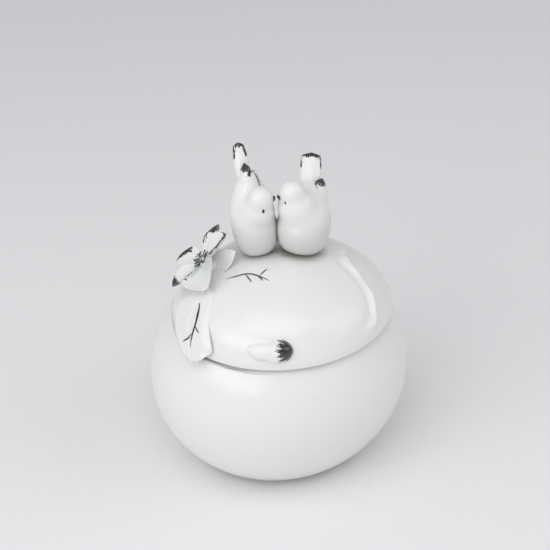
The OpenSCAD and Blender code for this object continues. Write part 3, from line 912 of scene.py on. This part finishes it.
def calyx_shape(sizes):
    """The flared stem under the flower: a waisted profile turned about the flower's axis."""
    profile = np.array([[0.3, 0], [4.4, 0], [3.0, 3], [2.5, 5], [3.4, 7.4], [0.3, 8.2]], float)
    profile = softened(profile, 0.25, 0.4)
    a = np.linspace(0, 2 * np.pi, 48, endpoint=False)[None, :, None]
    radius = np.maximum(profile[:, :1], 0.02)[:, :, None]
    rows = (HEART - 9.5 * FLOWER_AXIS + profile[:, 1:][:, :, None] * FLOWER_AXIS
            + radius * (np.cos(a) * FLOWER_SIDE + np.sin(a) * FLOWER_TOP))
    points, quads, tris, fields = sleeve(rows, rows[0].mean(0), rows[-1].mean(0), unpainted(rows))
    return kept_in_wall(sizes, points), quads, tris, fields


# ------------------------------------------------------------------------------------------------
# Flower and bud

def petal_direction(petal):
    """The way a petal points: its fifth of a turn about the flower's axis, opened out from it."""
    turn = math.radians(PETAL_TURN + 72 * petal["fifth"] + petal["stray"][0])
    opening = math.radians(PETAL_OPENING + petal["stray"][1])
    return (math.cos(opening) * FLOWER_AXIS
            + math.sin(opening) * (math.cos(turn) * FLOWER_SIDE + math.sin(turn) * FLOWER_TOP))


def petal_shape(sizes, petal):
    """A cupped pointed blade on the flower's heart. Black covers its tip and a stretch of one edge, on
    the side that faces out; glaze pools in the cup near the heart."""
    d = petal_direction(petal)
    made = blade(HEART + 1.6 * d, HEART + petal["long"] * d, FLOWER_AXIS, petal["half"],
                 sizes.petal_thickness / MM, cup=petal["cup"], bend=petal["bend"], fullness=1.15,
                 flutter=0.35)
    points, u, v, w, half, length = made
    from_tip = (1 - u) * length
    from_side = np.where(petal["edge"] * v > 0, half * (1 - np.abs(v)), 9.0)
    begin, end = petal["run"]
    stretch = np.minimum(end - from_tip, from_tip - begin + 2)
    ink = np.maximum(petal["tip"] - from_tip, np.minimum(petal["band"] - from_side, stretch))
    ink = brushed(ink) * step(-1.0, -0.6, w + 2 * step(0.85, 1.0, u))
    pool = step(-0.5, 0.1, w) * (1 - v * v) * step(0.9, 0.2, u)
    return blade_shape(made, ink, pool)


def heart_shape():
    """The ball that the petals meet on, with low bumps: the radius varies by 4% with a woven sine."""
    t = np.linspace(0.04, np.pi - 0.04, 48)[:, None, None]
    a = np.linspace(0, 2 * np.pi, 64, endpoint=False)[None, :, None]
    r = HEART_R * (1 + 0.04 * np.sin(9 * a) * np.sin(8 * t))
    rows = HEART + r * (np.cos(t) * FLOWER_AXIS
                        + np.sin(t) * (np.cos(a) * FLOWER_SIDE + np.sin(a) * FLOWER_TOP))
    return sleeve(rows, HEART + HEART_R * FLOWER_AXIS, HEART - HEART_R * FLOWER_AXIS, unpainted(rows, 0.5))


def thread(points, radii, flat=1.0, normal=None):
    """A thin round thread along a line: at each point a circle of its radius stands across the line,
    squeezed by flat along the normal. Ends close on the line."""
    points = np.asarray(points, float)
    radii = np.asarray(radii, float)[:, None, None]
    t = unit(np.gradient(points, axis=0))
    n = np.broadcast_to(np.array([0.0, 0.0, 1.0]) if normal is None else normal, t.shape)
    side = unit(np.cross(t, n) + 1e-9)
    up = np.cross(side, t)
    a = np.linspace(0, 2 * np.pi, 12, endpoint=False)[None, :, None]
    rows = points[:, None] + radii * (np.cos(a) * side[:, None] + flat * np.sin(a) * up[:, None])
    return sleeve(rows, points[0], points[-1], unpainted(rows))


def stamens_shape():
    """Short curled filaments on the heart, laid out on a sunflower spiral, each ending in a bead."""
    shapes = []
    for k in range(STAMENS):
        spread = math.radians(6 + 52 * math.sqrt(k / STAMENS))
        turn = k * math.radians(137.5)
        radial = math.cos(turn) * FLOWER_SIDE + math.sin(turn) * FLOWER_TOP
        d = math.cos(spread) * FLOWER_AXIS + math.sin(spread) * radial
        curl = np.cross(d, radial) * (1.5 if k % 2 else -1.5)
        s = np.linspace(0, 1, 14)[:, None]
        tall = 1.7 + 0.6 * ((k * 7) % 5) / 4
        line = HEART + d * (HEART_R - 0.3 + tall * s) + curl * np.sin(np.pi * s) + radial * 0.5 * s * s
        shapes.append(thread(line, np.full(14, 0.15)))
        shapes.append(bead(line[-1], 0.25 + 0.06 * (k % 3)))
    return joined(shapes)


def bead(centre, r, squash=None, stretch=1.0):
    """A small ball. squash flattens it along that direction to a third, and stretch draws it out across
    that direction and upright."""
    t = np.linspace(0.12, np.pi - 0.12, 14)[:, None, None]
    a = np.linspace(0, 2 * np.pi, 20, endpoint=False)[None, :, None]
    z = unit(squash) if squash is not None else np.array([0.0, 0.0, 1.0])
    x = unit(np.cross([0.0, 1.0, 0.2] if squash is None else [0.0, 0.0, 1.0], z))
    y = np.cross(z, x)
    k = 0.34 if squash is not None else 1.0
    rows = centre + r * (k * np.cos(t) * z + np.sin(t) * (np.cos(a) * x + stretch * np.sin(a) * y))
    return sleeve(rows, centre + r * k * z, centre - r * k * z, unpainted(rows))


def bud_shape(sizes):
    """The closed bud: at the share u of its length its radius is 5.1 mm times the sine of a half turn
    run by u to the power 1.7, to the power 0.6. Folds of the wrapped petals run slantwise round it,
    and black covers its right end, drawn back in streaks. Its left end is sunk in the dome's wall."""
    u = (0.5 - 0.5 * np.cos(np.linspace(0.02, np.pi - 0.02, 110)))[:, None]
    a = np.linspace(0, 2 * np.pi, 96, endpoint=False)[None, :]
    span = BUD_END - BUD_START
    d = unit(span)
    side = unit(np.cross([0, 0, 1], d))
    top = np.cross(d, side)
    radius = BUD_R * np.sin(np.pi * u ** 1.7) ** 0.6
    folds = 1 + 0.035 * np.tanh(3 * np.sin(3 * a + 7 * u)) * step(0.05, 0.3, u)
    radius = radius * folds
    rows = (BUD_START + u[..., None] * span
            + radius[..., None] * (np.cos(a)[..., None] * side + np.sin(a)[..., None] * top))
    zero = 0 * u * a
    ink = brushed((u - BUD_BLACK) * BUD_LENGTH, 5.0)
    grain = np.stack([a * BUD_R + zero, u * BUD_LENGTH + zero, zero + 1.0], -1)
    fields = {"pool": 0.2 * step(0.1, 0.5, u) + zero, "ink": ink + zero, "grain": grain}
    start, end = kept_in_wall(sizes, np.array([BUD_START, BUD_END]))
    return sleeve(kept_in_wall(sizes, rows), start, end, fields)


def bud_wrap_shape(sizes):
    """The petal wrapped round the bud's left end: one blade bowed over it, sunk in the dome's wall."""
    rows, *rest = blade([-12, -43.2, 74.9], [1.5, -47.8, 75.9], [0, -0.72, 0.69], 3.9, 1.0, cup=-1.9,
                        bend=-0.6, flutter=0.3)
    return blade_shape((kept_in_wall(sizes, rows), *rest))


# ------------------------------------------------------------------------------------------------
# Birds

def melt(a, b, k):
    """Two distances joined with a rounded valley as wide as k: a smooth minimum."""
    h = np.clip(0.5 + 0.5 * (b - a) / k, 0, 1)
    return b * (1 - h) + a * h - k * h * (1 - h)


def bird_distance(bird, p):
    """Roughly how far p lies outside a bird's body. The body is an egg that leans to the tail, with a
    full, squarish lower end, melted with a ball for the breast and one for the head."""
    belly, head = np.array(bird["belly"], float), np.array(bird["head"], float)
    r = bird["belly_r"]
    lean = np.array(bird["tail_root"], float) - belly
    above = np.linalg.norm(lean) + 3.5
    d = unit(lean)
    q = p - belly
    h = q @ d
    away = np.linalg.norm(q - h[..., None] * d, axis=-1)
    low = (((away / r) ** 2.5 + (np.abs(h) / EGG_LOW) ** 2.5) ** 0.4 - 1) * r
    high = (((away / r) ** 1.25 + (h / above) ** 2) - 1) * r * 0.7
    egg = np.where(h < 0, low, high)
    neck = np.linalg.norm(p - (belly + 0.58 * (head - belly)), axis=-1) - 0.72 * r
    crown = np.linalg.norm(p - head, axis=-1) - HEAD_R + 0.25
    return melt(melt(egg, neck, 2.5), crown, 2.2)


def bird_middle(bird):
    """A point deep in the body from which every part of its surface can be seen."""
    belly, head = np.array(bird["belly"], float), np.array(bird["head"], float)
    return belly + 0.42 * ((head + np.array(bird["tail_root"], float)) / 2 - belly)


def bird_skin(bird, directions):
    """Where rays from the body's middle leave it, found by halving the gap between in and out."""
    middle = bird_middle(bird)
    steps = np.linspace(0.5, 34, 68)
    out = np.stack([bird_distance(bird, middle + s * directions) > 0 for s in steps])
    first = np.argmax(out, axis=0)
    low, high = steps[np.maximum(first - 1, 0)], steps[first]
    for _ in range(18):
        mid = (low + high) / 2
        outside = bird_distance(bird, middle + mid[..., None] * directions) > 0
        low, high = np.where(outside, low, mid), np.where(outside, mid, high)
    return middle + high[..., None] * directions


def bird_body_shape(sizes, bird):
    """The body's skin, found along rays from its middle: rows go from straight down to straight up.
    Painted shade darkens it where it meets the leaf, where it nears its partner, and softly towards the
    bottom."""
    t = np.linspace(0.015, np.pi - 0.015, 150)[:, None]
    a = np.linspace(0, 2 * np.pi, 160, endpoint=False)[None, :]
    z = -np.cos(t) + 0 * a
    directions = np.stack([np.sin(t) * np.cos(a), np.sin(t) * np.sin(a), z], -1)
    rows = bird_skin(bird, directions)
    poles = bird_skin(bird, np.array([[0, 0, -1.0], [0, 0, 1.0]]))
    partner = BIRDS["right_bird" if bird["side"] > 0 else "left_bird"]
    # Painted shade: darker where the body meets the leaf, near its partner, and towards the bottom.
    ground = on_dome(sizes, sizes.leaf_thickness / MM, rows[..., 0], rows[..., 1])[..., 2]
    deep = np.maximum(0.6 * hump(np.maximum(rows[..., 2] - ground, 0), 0, 1.4),
                      0.45 * hump(np.maximum(bird_distance(partner, rows), 0), 0, 0.9))
    deep = deep + 0.29 * step(bird["belly"][2] + 10, bird["belly"][2] - 3, rows[..., 2])
    return sleeve(rows, poles[0], poles[1], {**unpainted(rows), "crevice": deep})


def beak_shape(bird):
    """A short deep beak: an egg stretched up and down, its nose drawn towards the partner."""
    head, tip = np.array(bird["head"], float), np.array(bird["beak"], float)
    d = unit(tip - head)
    top = unit(np.array([0.0, 0.0, 1.0]) - d * d[2] + 0.18 * d)
    side = np.cross(d, top)
    t = np.linspace(0.06, np.pi - 0.06, 40)[:, None, None]
    a = np.linspace(0, 2 * np.pi, 36, endpoint=False)[None, :, None]
    nose = np.cos(t)
    rows = (tip - BEAK * d + BEAK * nose * d
            + np.sin(t) * (1 - 0.25 * nose) * (1.4 * np.cos(a) * top + 0.7 * np.sin(a) * side))
    return sleeve(rows, tip, tip - 2 * BEAK * d, unpainted(rows))


def outlined(u, v, half, length, top, side, run):
    """Black drawn round the end of a blade: as deep as top at its tip and as side along its edges, down
    to run from the tip (mm)."""
    from_tip = (1 - u) * length
    from_side = half * (1 - np.abs(v))
    return brushed(np.maximum(top - from_tip, np.minimum(side - from_side, run - from_tip)))


def tail_shape(bird):
    """The tail: a thick blunt blade from inside the back to its tip, black round the tip and a little
    way down its sides."""
    root, tip = np.array(bird["tail_root"], float), np.array(bird["tail_tip"], float)
    made = blade(root - 0.35 * (tip - root), tip, [0, -0.9, 0.4], bird["tail_w"], 3.0, cup=-0.5,
                 bend=0.3, blunt=bird["tail_blunt"])
    points, u, v, w, half, length = made
    return blade_shape(made, outlined(u, v, half, length, 2.0, 0.75, 6.0))


def wing_shape(bird, outer):
    """A folded wing: a blade that stands out of the flank, bows round the body and ends free beside
    the tail. Black covers the tip of an outer wing. The left bird's inner wing has a thin black rim at
    its tip and a thin line down it, and the right bird's has none."""
    out = -bird["side"] if outer else bird["side"]
    root = np.array(bird["belly"], float) + [out * 0.86 * bird["belly_r"], -2.5, 1]
    tip = bird["outer_tip"] if outer else bird["inner_tip"]
    half_w = 4.6 if outer else 6.4
    made = blade(root, tip, [out, -0.45, 0.2], half_w, 1.8, cup=-1.6, bend=-0.8, blunt=0.24)
    points, u, v, w, half, length = made
    if outer:
        ink = outlined(u, v, half, length, 3.4, 0.5, 4.5)
    elif bird["side"] > 0:
        line = np.minimum(0.5 - half * np.abs(v - INNER_LINE), 9.0 - (1 - u) * length)
        ink = np.maximum(outlined(u, v, half, length, 0.7, -1.0, 2.0), brushed(line))
    else:
        ink = 0 * u
    return blade_shape(made, ink)


# ------------------------------------------------------------------------------------------------
# Painted lines

# Strokes of the sprig, as places (x, y) seen from above
SPRIG = [
    [(-18.7, -11.7), (-15.7, -12.0), (-12.9, -11.9), (-10.4, -12.1),
     (-8.0, -13.0), (-5.5, -14.8), (-3.2, -16.8), (-1.2, -18.5)],
    [(-10.7, -12.7), (-9.6, -15.1), (-8.5, -17.7)],
    [(-5.0, -14.4), (-3.4, -12.6), (-1.8, -11.1)],
    [(-6.0, -14.6), (-4.7, -16.4), (-4.0, -18.0)],
]


def sprig_shape(sizes):
    """The sprig painted on the broad leaf: threads laid on the leaf, thickest a third of the way."""
    shapes = []
    rng = np.random.default_rng(5)
    for k, points in enumerate(SPRIG):
        flat = spline(points, 60)
        line = on_dome(sizes, sizes.leaf_thickness / MM + 0.02, flat[:, 0], flat[:, 1])
        shapes.append(thread(line, brush_width(sizes, len(line), rng, 1.0 if k == 0 else 0.8), 0.45))
    return joined(shapes)


def brush_width(sizes, count, rng, share):
    """Half width along a stroke: it starts fine, swells, and ends in a point, with a slight tremble."""
    t = np.linspace(0, 1, count)
    tremble = np.convolve(rng.random(count + 8), np.ones(9) / 9, "valid")
    swell = np.sin(np.pi * np.clip(t * 0.93 + 0.05, 0, 1)) ** 0.8
    return sizes.line_radius / MM * share * (0.18 + swell) * (0.55 + 0.9 * tremble)


# Strokes of the veins, as places (u, v) along and across the draped leaf
VEINS = [
    [(0.19, 0.15), (0.24, 0.27), (0.31, 0.32), (0.4, 0.32), (0.51, 0.24), (0.61, 0.15), (0.78, -0.06)],
    [(0.44, 0.32), (0.47, 0.46), (0.49, 0.61)],
    [(0.54, 0.19), (0.63, -0.07), (0.76, -0.48)],
]


def veins_shape(sizes):
    """The veins painted on the draped leaf: threads laid along its face, given by places u and v."""
    shapes = []
    rng = np.random.default_rng(9)
    for k, points in enumerate(VEINS):
        flat = spline(points, 60)
        u, v = flat[:, 0], flat[:, 1]
        half = drape_half(u)
        reach, height, slope = drape_frame(sizes, u)
        angle = np.radians(DRAPE_TURN + DRAPE_SWEEP * u + v * half)
        lift = 2 * sizes.leaf_thickness / MM - 0.3 - 0.3 * hump(v, -0.02, 0.09) + 0.8 * np.abs(v) ** 3
        out, up = reach + lift * np.cos(slope), height + lift * np.sin(slope)
        line = np.stack([DOME[0] + out * np.cos(angle), DOME[1] + out * np.sin(angle), up], -1)
        normal = np.stack([np.cos(angle) * np.cos(slope), np.sin(angle) * np.cos(slope), np.sin(slope)], -1)
        shapes.append(thread(line, brush_width(sizes, 60, rng, 1.35 if k == 0 else 0.9), 0.45, normal))
    return joined(shapes)


def eye_shape(bird):
    """A painted eye: a flat black bead on the head, longer up and down than across."""
    middle = bird_middle(bird)
    direction = unit(np.array(bird["eye"], float) - middle)
    at = bird_skin(bird, direction[None])[0]
    nudge = np.eye(3) * 0.05
    normal = unit(bird_distance(bird, at + nudge) - bird_distance(bird, at - nudge))
    return bead(at, bird["eye_r"], normal, 1.9)


# ------------------------------------------------------------------------------------------------
# Operators

class TRINKET_OT_pot(bpy.types.Operator):
    """Make the pot: its bowl and its foot ring"""
    bl_idname = "trinket.pot"
    bl_label = "Pot"

    def execute(self, context):
        sizes = context.scene.trinket_sizes
        put_in("pot", pot_shape(sizes), "pot", ["pot_bowl"], glazed("Glazed porcelain"))
        put_in("foot", foot_shape(), "pot", ["foot_ring"], clay_material())
        return {"FINISHED"}


class TRINKET_OT_lid(bpy.types.Operator):
    """Make the domed lid and the locating ring under it"""
    bl_idname = "trinket.lid"
    bl_label = "Lid"

    def execute(self, context):
        sizes = context.scene.trinket_sizes
        put_in("lid", lid_shape(sizes), "lid", ["lid_shell"], glazed("Glazed porcelain"))
        put_in("locating_ring", locating_ring_shape(sizes), "lid", ["lid_locating_ring"],
               clay_material())
        return {"FINISHED"}


class TRINKET_OT_leaves(bpy.types.Operator):
    """Make the leaves: the broad one, the draped one, the one behind the flower, and the bud's"""
    bl_idname = "trinket.leaves"
    bl_label = "Leaves"

    def execute(self, context):
        sizes = context.scene.trinket_sizes
        leaf = leaf_glaze()
        put_in("broad_leaf_laid", broad_leaf_shape(sizes), "lid", ["broad_leaf"], leaf)
        put_in("draped_leaf_hung", draped_leaf_shape(sizes), "lid", ["draped_leaf"], leaf)
        put_in("back_leaf_cupped", back_leaf_shape(sizes), "lid", ["back_leaf"], leaf)
        put_in("bud_wrap", bud_wrap_shape(sizes), "lid", ["bud_wrap_petal"], leaf)
        return {"FINISHED"}


class TRINKET_OT_flower(bpy.types.Operator):
    """Make the flower: calyx, heart, stamens and five petals"""
    bl_idname = "trinket.flower"
    bl_label = "Flower"

    def execute(self, context):
        sizes = context.scene.trinket_sizes
        petal_glaze = glazed("Glazed petal", clouding=0.3, fringe=0.9, streaks=1.5)
        leaf = leaf_glaze()
        put_in("calyx", calyx_shape(sizes), "lid", ["flower_calyx"], leaf)
        put_in("heart", heart_shape(), "lid", ["flower_heart"], petal_glaze)
        put_in("stamen_tuft", stamens_shape(), "lid", ["stamens"], ink_material())
        for name, petal in PETALS.items():
            put_in(name + "_cupped", petal_shape(sizes, petal), "lid", [name], petal_glaze)
        return {"FINISHED"}


class TRINKET_OT_bud(bpy.types.Operator):
    """Make the closed bud at the front of the lid"""
    bl_idname = "trinket.bud"
    bl_label = "Bud"

    def execute(self, context):
        sizes = context.scene.trinket_sizes
        put_in("bud_closed", bud_shape(sizes), "lid", ["bud"], leaf_glaze())
        return {"FINISHED"}


class TRINKET_OT_birds(bpy.types.Operator):
    """Make the pair of birds: bodies, beaks, tails, wings and painted eyes"""
    bl_idname = "trinket.birds"
    bl_label = "Birds"

    def execute(self, context):
        sizes = context.scene.trinket_sizes
        white = glazed("Glazed bird", clouding=0.4, specks=0.3, fringe=1.0, streaks=1.4)
        black = ink_material()
        for name, bird in BIRDS.items():
            put_in(name + "_form", bird_body_shape(sizes, bird), "lid", [name + "_body"], white)
            put_in(name + "_bill", beak_shape(bird), "lid", [name + "_beak"], black)
            put_in(name + "_raised_tail", tail_shape(bird), "lid", [name + "_tail"], white)
            put_in(name + "_folded_wing_outer", wing_shape(bird, True), "lid", [name + "_outer_wing"],
                   white)
            put_in(name + "_folded_wing_inner", wing_shape(bird, False), "lid", [name + "_inner_wing"],
                   white)
            put_in(name + "_eye", eye_shape(bird), "lid", [], black)
        return {"FINISHED"}


class TRINKET_OT_brushwork(bpy.types.Operator):
    """Paint the fine lines: the sprig on the broad leaf and the veins on the draped one"""
    bl_idname = "trinket.brushwork"
    bl_label = "Brush lines"

    def execute(self, context):
        sizes = context.scene.trinket_sizes
        put_in("sprig_lines", sprig_shape(sizes), "lid", [], ink_material())
        put_in("vein_lines", veins_shape(sizes), "lid", [], ink_material())
        return {"FINISHED"}


# A light is its place, the point that it faces, its width and height, and its share of the key light's
# power or of the fill light's (metres)
MIDDLE = (0, 0, 0.05)
LIGHTS = {
    "overhead": ((-0.1, -0.45, 1.0), (0, -0.2, 0), (1.0, 0.8), "key_power", 1.14),
    "front left": ((-0.8, -0.85, 0.58), MIDDLE, (1.1, 0.45), "key_power", 1.12),
    "front": ((-0.35, -1.4, 0.6), MIDDLE, (2.0, 0.6), "key_power", 0.22),
    "right": ((1.1, -0.3, 0.9), MIDDLE, (1.0, 1.0), "fill_power", 1.0),
    "left": ((-1.1, -0.3, 0.9), MIDDLE, (1.0, 1.0), "fill_power", 0.5),
}
FLOOR_HALF = 4.0                     # half the floor's width, in metres


def placed(thing, x, y, z, place):
    """An object for a light or camera whose own axes point along x, y and z, at a place."""
    made = bpy.data.objects.new(thing.name, thing)
    made.matrix_world = Matrix([[x[k], y[k], z[k], place[k]] for k in range(3)] + [[0, 0, 0, 1]])
    bpy.context.scene.collection.objects.link(made)
    return made


def area_light(name, place, aim, size, power):
    """A soft oblong light at a place, turned to face aim."""
    data = bpy.data.lights.new(name, "AREA")
    data.shape = "RECTANGLE"
    data.size, data.size_y = size
    data.energy = power
    back = unit(np.array(place, float) - np.array(aim, float))
    side = unit(np.cross([0, 0, 1], back))
    placed(data, side, np.cross(back, side), back, place)


class TRINKET_OT_stage(bpy.types.Operator):
    """Set out the camera, the pale floor and the soft lights"""
    bl_idname = "trinket.stage"
    bl_label = "Stage"

    def execute(self, context):
        scene = context.scene
        stage = scene.trinket_stage
        low, high = np.array(CAD_BOX)
        middle = np.array([low[0] + high[0] + 0.0022, 0, low[2] + high[2] + 0.028]) / 2
        tilt = stage.elevation
        ahead = np.array([0, math.cos(tilt), -math.sin(tilt)])
        right = np.array([1.0, 0, 0])
        top = np.cross(right, ahead)
        c, s = math.cos(stage.roll), math.sin(stage.roll)
        camera = bpy.data.cameras.new("view")
        camera.lens = stage.lens
        camera.sensor_width = 36
        camera.clip_start, camera.clip_end = 0.01, 20
        scene.camera = placed(camera, c * right - s * top, s * right + c * top, -ahead,
                              middle - stage.distance * ahead)

        half = FLOOR_HALF
        mesh = bpy.data.meshes.new("floor")
        square = [(-half, -half, 0), (half, -half, 0), (half, half, 0), (-half, half, 0)]
        mesh.from_pydata(square, [], [(0, 1, 2, 3)])
        mesh.materials.append(floor_material())
        floor = bpy.data.objects.new("floor", mesh)
        scene.collection.objects.link(floor)

        for name, (place, aim, size, power, share) in LIGHTS.items():
            area_light(name, place, aim, size, getattr(stage, power) * share)

        world = bpy.data.worlds.new("room")
        world.use_nodes = True
        background = world.node_tree.nodes["Background"]
        background.inputs["Color"].default_value = (0.95, 0.96, 1.0, 1)
        background.inputs["Strength"].default_value = stage.sky
        scene.world = world
        scene.view_settings.view_transform = "Standard"
        return {"FINISHED"}


PIECES = (TRINKET_OT_pot, TRINKET_OT_lid, TRINKET_OT_leaves, TRINKET_OT_flower, TRINKET_OT_bud,
          TRINKET_OT_birds, TRINKET_OT_brushwork, TRINKET_OT_stage)


class TRINKET_PT_panel(bpy.types.Panel):
    """Lists what the box is made of, with its sizes and finishes"""
    bl_idname = "TRINKET_PT_panel"
    bl_label = "Trinket Box"
    bl_space_type = "VIEW_3D"
    bl_region_type = "UI"
    bl_category = "Trinket Box"

    def draw(self, context):
        scene = context.scene
        for group in (scene.trinket_sizes, scene.trinket_finish, scene.trinket_stage):
            box = self.layout.box()
            for key in type(group).__annotations__:
                box.prop(group, key)
        for piece in PIECES:
            self.layout.operator(piece.bl_idname)


CLASSES = (TrinketSizes, TrinketFinish, TrinketStage) + PIECES + (TRINKET_PT_panel,)


def register():
    """Registers the classes and gives each scene the sizes, the finishes and the stage."""
    for cls in CLASSES:
        bpy.utils.register_class(cls)
    bpy.types.Scene.trinket_sizes = bpy.props.PointerProperty(type=TrinketSizes)
    bpy.types.Scene.trinket_finish = bpy.props.PointerProperty(type=TrinketFinish)
    bpy.types.Scene.trinket_stage = bpy.props.PointerProperty(type=TrinketStage)


def unregister():
    """Takes back what register gave."""
    del bpy.types.Scene.trinket_stage
    del bpy.types.Scene.trinket_finish
    del bpy.types.Scene.trinket_sizes
    for cls in reversed(CLASSES):
        bpy.utils.unregister_class(cls)


def main():
    """Builds every piece and the stage."""
    register()
    for piece in PIECES:
        group, name = piece.bl_idname.split(".")
        getattr(getattr(bpy.ops, group), name)()


if __name__ == "__main__":
    main()
